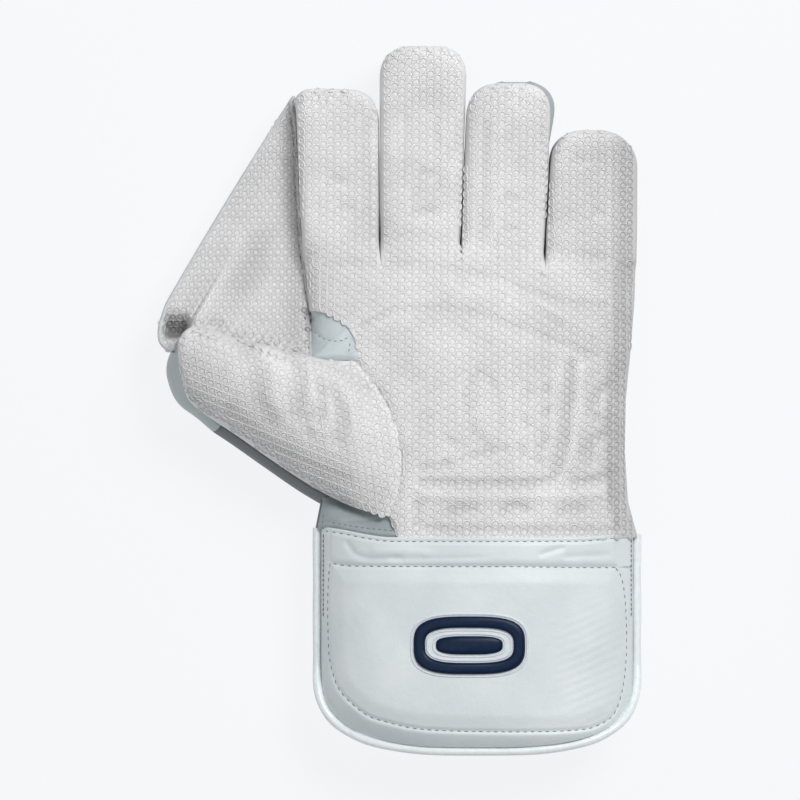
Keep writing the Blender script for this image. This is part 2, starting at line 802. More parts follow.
@dataclass
class Hand:
    """The palm's rubber facing and the leather back of the hand and its fingers.

    The sections run from the wrist to the fingers at shares rows_at of the length: left and
    right are shares of the width, seam and depth shares of the palm's depth, and square is the
    power of the rounded section. The outer side is rounded off by the shoulder's first number
    over its second, and dusk holds the tones of its wide and of its narrow shade. The edge that
    slips under the thumb is lowered by the tuck. Rows of the palm mix into the fingers' own
    height from mix_from on.
    """

    length: float = 221.6
    width: float = 152.0
    wrist: float = 61.2
    finger_depth: float = 35.0
    lift: float = 5.0
    palm_depth: float = 50.0
    tip_length: float = 17.2
    facing: float = 2.6
    wall: float = 4.2
    gap: float = 0.3
    pressed: float = 2.5
    relief: float = 1.15
    shoulder: Pair = (3.6, 10.5)
    patch_square: float = 2.2
    first_slit: float = 0.605
    tip_square: float = 2.85
    finger_square: float = 6.0
    plump: float = 0.3
    tip_turn: float = 0.46
    pucker_pitch: float = 3.1
    pucker_from: float = 11.0
    pucker_over: float = 8.0
    dusk: Pair = (0.10, 0.22)
    unevenness: float = 0.35
    rib_room: float = 0.9
    tuck: float = 1.2
    tuck_width: float = 1.4
    mix_from: float = 0.535
    palm_end: float = 0.54
    fingers: tuple[Finger, ...] = (
        Finger("index", -0.540, -0.295, -0.522, -0.2922, 0.912, 0.6115, -2.0, (-1.4, 0.8), 0.95, (3.0, 0.0)),
        Finger("middle", -0.289, -0.030, -0.2878, -0.0507, 1.0, 0.6033, -0.4, (0.0, 0.4), 0.25),
        Finger("ring", -0.026, 0.2207, -0.0462, 0.1998, 0.924, 0.5767, -0.4, (3.4, 1.8), 0.40),
        Finger("little", 0.2266, 0.4771, 0.2043, 0.4771, 0.8282, 0.565, -2.4, (-0.6, 0.5), 0.20,
               (0.0, -0.75)),
    )
    rows_at: tuple[float, ...] = (0.0, 0.07, 0.17, 0.28, 0.38, 0.48, 0.6115)
    left: tuple[float, ...] = (-0.486, -0.466, -0.478, -0.488, -0.490, -0.504, -0.522)
    right: tuple[float, ...] = (0.4771, 0.4503, 0.4413, 0.4443, 0.4592, 0.4711, 0.4771)
    seam: tuple[float, ...] = (0.57, 0.53, 0.50, 0.49, 0.48, 0.43, 0.37)
    depth: tuple[float, ...] = (1.12, 1.08, 1.03, 1.00, 0.97, 0.88, 0.74)
    square: tuple[float, ...] = (2.3, 2.5, 2.8, 3.0, 3.1, 3.2, 3.3)
    patch_from: float = 0.3553
    patch_to: float = 0.4573
    heel_at: tuple[float, ...] = (0.0, 0.0408)
    heel_x: tuple[float, ...] = (-0.2386, -0.2622)
    folds: tuple[Fold, ...] = (
        # Edges of the padding low in the palm and down its outer side
        Fold(((41.2, 15.9), (40.4, 4.0), (38.5, -16.3), (34.9, -32.0), (31.0, -36.4), (24.0, -37.2)),
             1.7, 2.4),
        Fold(((20.0, -37.3), (0.0, -37.8), (-25.8, -37.2)), 1.6, 2.4),
        Fold(((46.0, 14.0), (44.5, -10.0), (41.0, -29.0)), -1.0, 2.6),
        Fold(((35.0, 12.0), (33.5, -10.0), (30.0, -27.0)), -0.5, 2.6),
        Fold(((43.5, -37.2), (53.0, -35.6), (61.6, -31.7)), 1.5, 2.4),
        Fold(((-24.0, -42.4), (0.0, -43.4), (35.0, -42.8), (56.0, -41.5)), -1.0, 2.6),
        Fold(((-28.0, -47.0), (-27.6, -54.0), (-22.0, -57.8), (20.0, -58.4), (60.3, -58.9)), 1.2, 2.2),
        Fold(((60.6, -36.0), (61.0, -46.0), (62.0, -57.0)), 1.2, 2.2),
        # Ovals on the outer side
        Fold(((57.0, 6.5), (52.4, 1.0), (50.6, -5.5), (53.0, -8.5)), 1.1, 2.6),
        Fold(((56.0, -15.5), (51.0, -18.5), (48.6, -23.5), (50.6, -27.0)), 1.2, 2.8),
        Fold(((56.4, 0.0), (56.0, -5.0)), -1.1, 2.8),
        Fold(((55.4, -20.0), (54.8, -25.0)), -1.1, 2.8),
        # Creases across the palm under the fingers
        Fold(((-68.4, 61.6), (-32.6, 61.6), (0.9, 56.2), (34.5, 44.9), (56.7, 42.2)), 0.8, 2.2),
        Fold(((-52.1, 34.0), (-42.6, 38.5), (-32.6, 40.8), (-13.1, 40.8), (1.4, 38.1), (12.2, 34.0),
              (37.2, 25.4), (51.2, 19.9)), 0.8, 2.2),
        Fold(((-10.0, 53.0), (23.1, 42.2), (37.2, 33.5)), 0.6, 1.9),
        Fold(((-46.0, 52.0), (-15.0, 51.0), (18.0, 45.0), (50.0, 32.0)), -0.6, 3.6),
        # Folds in the hollow of the palm
        Fold(((-3.2, 10.0), (-5.4, 0.0), (-3.2, -13.6), (3.2, -20.4)), 0.5, 1.9),
        Fold(((0.5, 12.7), (7.3, 6.8), (10.4, -4.5), (8.6, -18.1), (5.9, -22.7)), 0.5, 1.9),
        Fold(((1.5, 4.0), (3.0, -14.0)), -0.6, 3.0),
        Fold(((-25.0, -30.5), (-12.0, -28.6), (-2.0, -25.0), (12.0, -22.0)), 0.8, 2.2),
        # Dents along the heel and over the palm
        Fold(((-12.5, -50.6), (-8.0, -49.2), (-2.5, -49.4)), 1.2, 2.5),
        Fold(((11.0, -50.2), (15.5, -48.0), (21.0, -49.2)), 1.2, 2.5),
        Fold(((36.0, -50.6), (41.0, -48.8), (46.0, -49.6)), 1.1, 2.5),
        Fold(((21.8, 4.0), (22.4, 2.6)), 0.8, 2.0),
        Fold(((30.8, 5.4), (31.2, 3.4)), 0.8, 2.0),
        Fold(((30.8, -5.2), (29.6, -7.6)), 0.9, 2.0),
        Fold(((20.2, -9.7), (21.4, -11.5)), 0.8, 2.0),
        Fold(((29.3, -18.8), (27.6, -21.0)), 0.9, 2.0),
        Fold(((18.6, -21.6), (19.6, -25.4)), 0.8, 2.0),
        Fold(((24.0, -27.2), (27.0, -28.0)), 0.8, 2.0),
        Fold(((-13.6, -18.0), (-12.2, -19.4)), 0.7, 2.2),
        Fold(((-15.0, -28.0), (-13.6, -29.0)), 0.8, 2.2),
        Fold(((-24.0, -6.0), (-22.0, -8.0)), 0.5, 2.4),
        Fold(((-30.0, 8.0), (-27.0, 10.0)), 0.5, 2.4),
        # Dents and long creases of the fingers
        Fold(((-27.0, 102.6), (-22.0, 102.0)), 0.9, 2.2),
        Fold(((-28.0, 85.4), (-21.0, 85.0)), 1.0, 2.4),
        Fold(((-32.6, 126.0), (-33.2, 96.0)), 0.5, 1.7),
        Fold(((-18.8, 126.0), (-18.2, 96.0)), 0.5, 1.7),
        Fold(((3.0, 124.0), (2.4, 100.0), (1.4, 72.0)), 0.8, 1.8),
        Fold(((9.0, 122.0), (8.4, 100.0), (7.4, 72.0)), -0.5, 2.2),
        Fold(((12.0, 91.6), (16.0, 91.0)), 0.7, 2.2),
        Fold(((12.0, 77.4), (16.0, 77.0)), 0.6, 2.2),
        Fold(((-50.6, 124.0), (-50.0, 98.0), (-48.6, 72.0)), 0.7, 2.6),
        Fold(((-66.0, 99.0), (-62.0, 98.4)), 0.7, 2.2),
        Fold(((-63.0, 86.4), (-58.0, 86.0)), 0.7, 2.2),
        Fold(((44.5, 109.0), (46.5, 107.6)), 0.7, 2.0),
        Fold(((51.0, 84.4), (54.6, 83.2)), 0.7, 2.2),
        Fold(((48.6, 64.8), (54.0, 64.0)), 0.7, 2.2),
    )

    def shade(self, x: Array, y: Array) -> Array:
        """How much darker the rubber looks in its folds and down its outer side.

        Args:
            x: places along X.
            y: places along Y.

        Returns:
            Darkness at each place, from 0 to 0.4.
        """
        inland = self.value(self.right, self.share_of(y), self.width) - x
        wide, narrow = self.dusk
        side = wide * smooth(1.25 - inland / 40.0) + narrow * smooth((12.5 - inland) / 5.0)
        return np.clip(0.06 * folded(x, y, self.folds) + side, 0, 0.4)

    def y_of(self, share: Array) -> Array:
        """Place along the hand of a share of its length from the wrist."""
        return np.asarray(share) * self.length - self.wrist

    def share_of(self, y: Array) -> Array:
        """Share of the hand's length from the wrist of a place along it."""
        return (y + self.wrist) / self.length

    def value(self, column: Sequence[float], at: Array, size: float) -> Array:
        """A column of the table at shares of the length, times a size."""
        return np.interp(at, self.rows_at, column) * size

    def section(self, at: Array) -> dict[str, Array]:
        """The section at a share of the length, straight between the table's rows.

        Args:
            at: shares of the hand's length from the wrist.

        Returns:
            The sides, the seam, the height over it, the depth under it and the
            squareness, by name.
        """
        seam = self.value(self.seam, at, self.palm_depth)
        return {
            "left": self.value(self.left, at, self.width),
            "right": self.value(self.right, at, self.width),
            "seam": seam,
            "over": self.value(self.depth, at, self.palm_depth) - seam,
            "under": seam + self.pressed,
            "square": self.value(self.square, at, 1.0),
        }

    def left_side(self, at: Array) -> Array:
        """X of the hand's thumb side."""
        return self.value(self.left, at, self.width)

    def sunk(self, x: Array, y: Array) -> Array:
        """How far folds and unevenness lower the rubber: relief * folds - unevenness * ripple."""
        return self.relief * folded(x, y, self.folds) - self.unevenness * ripple(x, y, 3, 26.0)

    def rounding(self, inland: Array) -> Array:
        """How far the outer side is rounded off, by the distance from it."""
        drop, width = self.shoulder
        return drop * smooth(1 - inland / width)

    def height(self, side: Side, x: Array, at: Array, inset: float) -> Array:
        """Height of the palm or of the back: seam +- depth * rounded profile, less the folds.

        Args:
            side: palm or back.
            x: places along X.
            at: shares of the hand's length from the wrist.
            inset: distance inwards from the outer face.

        Returns:
            Heights over the floor.
        """
        s = self.section(at)
        f = (x - (s["left"] + s["right"]) / 2) / ((s["right"] - s["left"]) / 2 - inset)
        profile = cap(f, s["square"])
        if side is Side.PALM:
            sunk = self.sunk(x, self.y_of(at)) + self.rounding(s["right"] - x)
            return s["seam"] + (s["over"] - inset - sunk) * profile
        return np.maximum(inset, s["seam"] - (s["under"] - inset) * profile)

    def facing_edge(self, at: Array, thumb: "Thumb") -> Array:
        """Edge of the palm facing on the thumb side: the hand's side, round the patch, along
        the thumb's first rib, then down to the wrist.

        Args:
            at: shares of the hand's length from the wrist.
            thumb: the thumb, for its ribs.

        Returns:
            X of the edge.
        """
        first = thumb.ribs[0]
        t = (at - first.low_y) / (first.up_y - first.low_y)
        rib = (first.bow * (1 - (2 * t - 1) ** 2) - lerp(first.low_x, first.up_x, t)) * thumb.reach
        way = (at - self.patch_from) / (self.patch_to - self.patch_from)
        patch = lerp(self.left_side(at), thumb.inner_x(), cap(np.clip(way, 0, 1), self.patch_square))
        heel = np.interp(at, self.heel_at, self.heel_x) * self.width
        edge = np.where(at >= first.up_y, patch, np.where(at < first.low_y, heel, rib - self.rib_room))
        return np.where(at > self.patch_to, self.left_side(at), edge)

    def slit_middle(self, i: int) -> float:
        """Middle of the slit after finger i."""
        return (self.fingers[i].right + self.fingers[i + 1].left) / 2 * self.width

    def share(self, x: float) -> float:
        """How far a place lies across the row of fingers, from 0 to 1."""
        first, last = self.fingers[0].left, self.fingers[-1].right
        return (x / self.width - first) / (last - first)

    def slit_at(self, i: int, f: Array) -> Array:
        """Where finger i starts, mixed across it between the slits on its sides."""
        before = self.fingers[i - 1].slit if i else self.first_slit
        return lerp(before, self.fingers[i].slit, (f + 1) / 2)

    def tip_shape(self, finger: Finger, f: Array, step: Array) -> tuple[Array, Array, Array]:
        """How a finger narrows round its tip: while a runs from 0 to tip_turn * pi, the width
        is cos(a)^(2/n), the way to the end sin(a)^(2/n), and the height closes along a quarter
        circle of the lost width.

        Args:
            finger: the finger.
            f: places across it, from -1 to 1.
            step: places along it, from 0 to 2.

        Returns:
            Shares of the width, of the tip's length and of the height.
        """
        turn = self.tip_turn * np.pi
        angle = np.maximum(0, step - 1) * turn
        corner = finger.corners[0] * np.maximum(0, -f) + finger.corners[1] * np.maximum(0, f)
        power = 2 / (self.tip_square + corner)
        ending = powered(np.cos(turn), power)
        narrow = powered(np.cos(angle), power)
        reach = powered(np.sin(angle) / np.sin(turn), power)
        closing = np.sqrt(np.maximum(0, 1 - ((1 - narrow) / (1 - ending)) ** 2))
        return narrow, reach, closing

    def finger_relief(self, i: int, f: Array, u: Array, x: Array, y: Array) -> Array:
        """How far a finger's front stands off its plain form: its tilt, less the puckers at
        its tip and the folds.

        Args:
            i: number of the finger.
            f: places across it, from -1 to 1.
            u: shares of its length.
            x: places along X.
            y: places along Y.

        Returns:
            Heights over the plain form.
        """
        finger = self.fingers[i]
        left_over = self.y_of(finger.tip) - y
        end = np.clip((self.pucker_from - left_over) / self.pucker_over, 0, 1) * np.exp(-(f / 0.62) ** 4)
        pucker = finger.puckers * end * np.cos(2 * np.pi * x / self.pucker_pitch + 0.3 * y)
        return finger.tilt * f * smooth(u * 6) - pucker - self.sunk(x, y)

    def finger_points(self, side: Side, i: int, f: Array, step: Array, inset: float) -> Array:
        """Points of a finger. step runs up to 1 along its straight length and to 2 round its
        tip, where the width shrinks as cos(a)^(2/n) and the length grows as sin(a)^(2/n).

        Args:
            side: palm or back.
            i: number of the finger, from the index finger.
            f: places across it, from -1 to 1.
            step: places along it, from 0 to 2.
            inset: distance inwards from the outer face.

        Returns:
            The points.
        """
        finger = self.fingers[i]
        f, step = np.broadcast_arrays(f, step)
        base, tip = self.slit_at(i, f) * self.length, finger.tip * self.length
        narrow, reach, closing = self.tip_shape(finger, f, step)
        start = tip - self.tip_length
        straight = lerp(base - inset, start, np.minimum(step, 1))
        run = np.where(step <= 1, straight, lerp(start, tip - inset, reach))
        u = np.clip((run - base) / (tip - base), 0, 1)
        left = lerp(finger.left, finger.tip_left, u) * self.width
        right = lerp(finger.right, finger.tip_right, u) * self.width
        s = self.section(np.array(1.0))
        seam = s["seam"] + self.lift * u * u
        profile = cap(f, self.finger_square) * closing
        plump = self.plump * smooth(u * 5) if side is Side.PALM else 0.0
        x = (left + right) / 2 + f * ((right - left) / 2 + plump - inset) * narrow
        y = run - self.wrist
        if i > 0:
            x = np.where((step == 0) & (f == -1), self.slit_middle(i - 1), x)
        if i + 1 < len(self.fingers):
            x = np.where((step == 0) & (f == 1), self.slit_middle(i), x)
        if side is Side.PALM:
            relief = self.finger_relief(i, f, u, x, y)
            if i + 1 == len(self.fingers):
                relief = relief - self.rounding(right - x)
            z = seam + (self.finger_depth - s["seam"] - inset + relief) * profile
            return np.stack([x, y, z], -1)
        drop = (s["under"] - inset) * profile
        z = np.maximum(inset, seam - drop)
        bulge = (smooth(drop / 3.5) - 0.25 * smooth(drop / 18)) * (1.0 if inset < 0.1 else 0.0)
        ends = smooth((u - 0.55) / 0.35)
        x = x + bulge * (0.55 * f + finger.peek[0] * ends)
        y = y + bulge * finger.peek[1] * ends
        return np.stack([x, y, z], -1)

    def palm_points(self, side: Side, i: int, f: Array, at: Array, inset: float, edge: Array) -> Array:
        """Points below finger i. Towards the slits the height mixes into the finger's own.

        Args:
            side: palm or back.
            i: number of the finger.
            f: places across, from -1 to 1.
            at: shares of the hand's length from the wrist.
            inset: distance inwards from the outer face.
            edge: X of the thumb side's edge at those shares.

        Returns:
            The points.
        """
        s = self.section(at)
        at_side = edge <= s["left"] + self.gap
        left = edge + np.where(at_side, inset, 0.0)
        start = self.share(self.slit_middle(i - 1)) if i else 0.0
        end = self.share(self.slit_middle(i)) if i + 1 < len(self.fingers) else 1.0
        x = lerp(left, s["right"] - inset, lerp(start, end, (f + 1) / 2))
        at = np.broadcast_to(at, x.shape)
        z = self.height(side, x, at, inset)
        tucked = (edge > s["left"] + 4.0) & (at < self.patch_from)
        tuck = self.tuck * tucked * (1 - smooth((x - edge) / self.tuck_width))
        return np.stack([x, self.y_of(at), z - tuck], -1)

    def nearing(self, i: int, f: Array, at: Array) -> Array:
        """How near a row of the palm is to finger i: 0 below mix_from and 1 at its slits."""
        return smooth((at - self.mix_from) / (self.slit_at(i, f) - self.mix_from))

    def strip(self, side: Side, i: int, inset: float, edge: Callable[[Array], Array], rise: float,
              palm_at: Array, columns: int) -> Array:
        """Grid of points from the wrist to the tip of finger i.

        Args:
            side: palm or back.
            i: number of the finger.
            inset: distance inwards from the outer face.
            edge: gives X of the thumb side's edge by share of the length.
            rise: how far the face is moved off the seam.
            palm_at: shares of the length of the palm's rows.
            columns: number of columns.

        Returns:
            The grid of points.
        """
        f = across(columns, 0.5 * self.finger_square)[None, :]
        at = palm_at[:, None]
        palm = self.palm_points(side, i, f, at, inset, edge(at))
        root = self.finger_points(side, i, f, np.zeros((1, 1)), inset)
        root_z = np.broadcast_to(root[..., 2], palm.shape[:2])
        palm[..., 2] = lerp(palm[..., 2], root_z, self.nearing(i, f, at))
        steps = np.concatenate([np.linspace(0, 1, 46) ** 1.15, 1 + np.linspace(0, 1, 25)[1:]])[:, None]
        finger = self.finger_points(side, i, f, steps, inset)
        between = np.linspace(0, 1, 10)[1:-1][:, None]
        bridge_at = lerp(palm_at[-1], self.slit_at(i, f), between)
        bridge = self.palm_points(side, i, f, bridge_at, inset, edge(bridge_at))
        bridge[..., 1] = lerp(palm[-1:, :, 1], root[..., 1], between)
        mix = self.nearing(i, f, bridge_at)
        bridge[..., 0] = lerp(bridge[..., 0], np.broadcast_to(root[..., 0], bridge.shape[:2]), mix)
        bridge[..., 2] = lerp(bridge[..., 2], np.broadcast_to(root[..., 2], bridge.shape[:2]), mix ** 2)
        points = np.concatenate([palm, bridge, finger])
        lifted = (points[..., 2] > inset + 0.3) | (side is Side.PALM)
        points[..., 2] += np.where(lifted, rise, 0.0)
        return points

    def nets(self, side: Side, wall: float, edge: Callable[[Array], Array], palm_at: Array,
             columns: int) -> list[Net]:
        """The four strips of one face of the hand."""
        rise = side.value * self.gap / 2
        return [Net(*(self.strip(side, i, inset, edge, rise, palm_at, columns) for inset in (0.0, wall)))
                for i in range(len(self.fingers))]

    def build(self, thumb: "Thumb", wardrobe: Wardrobe) -> Skin:
        """Makes the facing and the back.

        Args:
            thumb: the thumb, for its ribs.
            wardrobe: the materials.

        Returns:
            The facing's skin.
        """
        quarter = np.linspace(0, np.pi / 2, 26)
        keys = np.append(lerp(self.patch_from, self.patch_to, np.sin(quarter)), thumb.ribs[0].low_y)
        palm_at = np.unique(np.concatenate([np.linspace(-0.004, self.palm_end, 150), keys]))
        edge = partial(self.facing_edge, thumb=thumb)
        LOG.info("hand: %s fingers", ", ".join(finger.name for finger in self.fingers))
        facing = shell(self.nets(Side.PALM, self.facing, edge, palm_at, 34), False)
        tone = self.shade(facing.points[:, 0], facing.points[:, 1]) + BASE_TONE
        make("palm_rubber", facing, wardrobe.rubber, ["palm_facing"], tone)
        back_at = np.linspace(0.002, self.palm_end, 60)
        back = shell(self.nets(Side.BACK, self.wall, self.left_side, back_at, 22), True)
        piece = make("back_leather", back, wardrobe.back, ["hand_back"])
        return facing


# The thumb


@dataclass(frozen=True)
class Rib:
    """A rib of the thumb from the web side (up) to the cuff side (low): ends in shares of the
    thumb's reach and the hand's length, bow in shares of the reach, heights in shares of the
    thumb's height, and roll the way in degrees in which the back leans.
    """

    up_x: float
    up_y: float
    low_x: float
    low_y: float
    bow: float
    up_z: float
    low_z: float
    crown: float
    depth: float
    roll: float


@dataclass
class Thumb:
    """The thumb's rubber front, its leather back and its cap.

    root, meet and cap_from are rib numbers: where the back starts, where the front leaves the
    palm's height, and where the cap starts. The back leans outwards by lean, more towards the
    tip by lean_tip and towards the palm by lean_root.
    """

    reach: float = 132.8
    height: float = 62.0
    lean: float = 0.38
    lean_tip: float = 0.09
    lean_root: float = 0.13
    facing: float = 2.6
    wall: float = 3.0
    gap: float = 0.3
    square: float = 2.3
    root: float = 1.6
    meet: float = 1.4
    cap_from: float = 4.6
    cap_room: float = 0.02
    seam_room: float = 0.6
    ribs: tuple[Rib, ...] = (
        Rib(0.4090, 0.3553, 0.2999, 0.0408, 0.092, 0.74, 0.72, 0.05, 0.60, 60),
        Rib(0.5010, 0.3573, 0.4260, 0.0592, 0.080, 0.72, 0.62, 0.21, 0.58, 60),
        Rib(0.6032, 0.3716, 0.5623, 0.1000, 0.060, 0.69, 0.57, 0.31, 0.53, 58),
        Rib(0.7123, 0.3879, 0.6986, 0.1531, 0.040, 0.67, 0.55, 0.36, 0.47, 56),
        Rib(0.8145, 0.4022, 0.8145, 0.2021, 0.020, 0.67, 0.55, 0.36, 0.43, 52),
        Rib(0.8929, 0.4190, 0.9031, 0.2374, 0.000, 0.67, 0.57, 0.33, 0.40, 48),
        Rib(0.9353, 0.4245, 0.9763, 0.2731, -0.010, 0.68, 0.60, 0.29, 0.38, 40),
        Rib(0.9677, 0.4250, 1.0019, 0.3171, -0.012, 0.69, 0.65, 0.25, 0.36, 38),
        Rib(0.9916, 0.4165, 1.0111, 0.3539, -0.008, 0.70, 0.68, 0.17, 0.28, 44),
        Rib(1.0120, 0.4030, 1.0140, 0.3700, -0.003, 0.69, 0.69, 0.00, 0.00, 50),
    )
    folds: tuple[Fold, ...] = (
        Fold(((-102.0, 25.4), (-99.0, 14.0), (-97.6, 2.0), (-92.0, -9.0)), 1.6, 5.0),
        Fold(((-87.0, 25.0), (-81.0, 18.0), (-79.6, 8.0), (-82.0, -6.0)), 2.0, 4.0),
        Fold(((-71.0, 6.0), (-69.6, -1.0), (-72.0, -8.0)), 1.9, 3.2),
        Fold(((-77.0, -8.0), (-75.4, -15.0)), 1.4, 2.8),
        Fold(((-63.0, 4.0), (-60.0, -9.0), (-62.0, -18.0)), 1.8, 3.0),
        Fold(((-92.0, 22.0), (-90.6, 10.0), (-91.6, 0.0)), -1.1, 3.4),
        Fold(((-75.0, 14.0), (-74.4, 2.0)), -0.9, 3.0),
        Fold(((-67.0, -2.0), (-67.6, -14.0)), -0.9, 2.6),
        Fold(((-57.0, 6.0), (-53.0, -10.0), (-52.0, -24.0)), -0.6, 4.0),
        Fold(((-112.0, -4.0), (-86.0, -24.0), (-58.0, -36.0)), 0.7, 3.0),
        Fold(((-117.0, -8.0), (-88.0, -29.5), (-54.0, -46.0)), -0.6, 2.4),
    )

    def shade(self, x: Array, y: Array) -> Array:
        """How much darker the rubber looks in its flutes and along its lower edge."""
        low = away(x, y, [(-133.0, 15.0), (-121.0, -9.0), (-93.0, -31.0), (-60.0, -49.0)])
        return np.clip(0.09 * folded(x, y, self.folds) + 0.17 * bell(low, 14.0), 0, 0.4)

    def seam_line(self, hand: Hand) -> Line:
        """The seam between the thumb and the palm in the plan, from its top to the heel.

        Args:
            hand: the hand, for its sizes.

        Returns:
            Points of the seam.
        """
        s = np.linspace(-1, 1, 13)
        points = self.points(True, np.zeros(13), s, 0.0, 0.0, hand)
        return tuple((float(x), float(y)) for x, y, _ in points)

    def inner_x(self) -> float:
        """X of the first rib's upper end, less the seam's room."""
        return self.seam_room - self.ribs[0].up_x * self.reach

    def column(self, key: str, r: Array) -> Array:
        """Smooth value of one of the ribs' sizes at rib number r."""
        return curved([getattr(rib, key) for rib in self.ribs], r)

    def points(self, front: bool, r: Array, s: Array, inset: float, rise: float, hand: Hand) -> Array:
        """Points of the thumb. The front stands crown * profile over the rim's plane and the
        back hangs depth * profile under it, leaning outwards by lean * drop. The front has
        gathers along its upper rim, and folds and unevenness away from its rims.

        Args:
            front: True for the rubber front, False for the leather back.
            r: rib numbers with fractions.
            s: places along a rib, -1 on the web side and 1 on the cuff side.
            inset: distance inwards from the outer face.
            rise: how far the rim is moved off the seam.
            hand: the hand, for its sizes.

        Returns:
            The points.
        """
        r, s = np.broadcast_arrays(r, s)
        up_x, low_x = (-self.column(key, r) * self.reach for key in ("up_x", "low_x"))
        up_y, low_y = (hand.y_of(self.column(key, r)) for key in ("up_y", "low_y"))
        t = s * (1 - 2 * inset / np.hypot(up_x - low_x, up_y - low_y))
        tipness = np.clip((r - len(self.ribs) + 4) / 3, 0, 1)
        bow = self.column("bow", r) * self.reach * (1 - t * t)
        x = lerp(up_x, low_x, (t + 1) / 2) + bow + inset * tipness
        y = lerp(up_y, low_y, (t + 1) / 2)
        rim = lerp(self.column("up_z", r), self.column("low_z", r), (t + 1) / 2) * self.height + rise
        profile = cap(s, self.square)
        if front:
            crown = np.maximum(0, self.column("crown", r) * self.height - inset)
            inland = smooth((s + 1) / 0.3) * smooth((1 - s) / 0.3) * smooth((9 - r) / 1.2) * smooth(r / 0.6)
            sunk = folded(x, y, self.folds) - 0.4 * ripple(x, y, 11, 22.0)
            gather = bell(s + 0.93, 0.16) * smooth((r - 1.9) / 0.6) * smooth((8.2 - r) / 0.8) * gathers(x, y)
            z = rim + crown * profile - sunk * inland * (crown > 0.2) + gather * smooth(profile * 3)
            root = hand.height(Side.PALM, x, hand.share_of(y), inset) - 0.5 * (1 - smooth(r / 0.25))
            return np.stack([x, y, lerp(root, z, smooth(r / self.meet))], -1)
        drop = np.maximum(0, self.column("depth", r) * self.height - inset) * profile
        lean = self.lean + self.lean_tip * smooth((r - 4.6) / 1.6) + self.lean_root * smooth((5.6 - r) / 1.2)
        shift = lean * drop
        roll = np.radians(self.column("roll", r))
        return np.stack([x - np.cos(roll) * shift, y - np.sin(roll) * shift, rim - drop], -1)

    def skin(self, front: bool, r: Array, wall: float, rise: float, hand: Hand) -> Skin:
        """Closed skin between the outer points and those inset by the wall.

        Args:
            front: True for the rubber front.
            r: rib numbers of the rows.
            wall: thickness of the wall.
            rise: how far the rim is moved off the seam.
            hand: the hand, for its sizes.

        Returns:
            The closed skin.
        """
        s = across(54, self.square)[None, :]
        r = r[:, None]
        grids = (self.points(front, r, s, inset, rise, hand) for inset in (0.0, wall))
        return shell([Net(*grids)], front)

    def build(self, hand: Hand, wardrobe: Wardrobe) -> Skin:
        """Makes the thumb's pieces.

        Args:
            hand: the hand, for its sizes.
            wardrobe: the materials.

        Returns:
            The front's skin.
        """
        last = len(self.ribs) - 1
        ribs = np.concatenate([np.linspace(0, 7, 120), 7 + 2 * np.sin(np.linspace(0, np.pi / 2, 40)[1:])])
        front = self.skin(True, ribs, self.facing, self.gap / 2, hand)
        tone = self.shade(front.points[:, 0], front.points[:, 1]) + BASE_TONE
        make("thumb_rubber", front, wardrobe.rubber, ["thumb_facing"], tone)
        below = np.linspace(self.root, self.cap_from - self.cap_room, 50)
        back = self.skin(False, below, self.wall, -self.gap / 2, hand)
        make("thumb_leather", back, wardrobe.strip, ["thumb_back"])
        beyond = np.concatenate([np.linspace(self.cap_from + self.cap_room, 7, 44),
                                 7 + (last - 7) * np.sin(np.linspace(0, np.pi / 2, 34)[1:])])
        cover = self.skin(False, beyond, self.wall, -self.gap / 2, hand)
        piece = make("thumb_cap_leather", cover, wardrobe.cap, ["thumb_cap"])
        return front


# The web and the patch


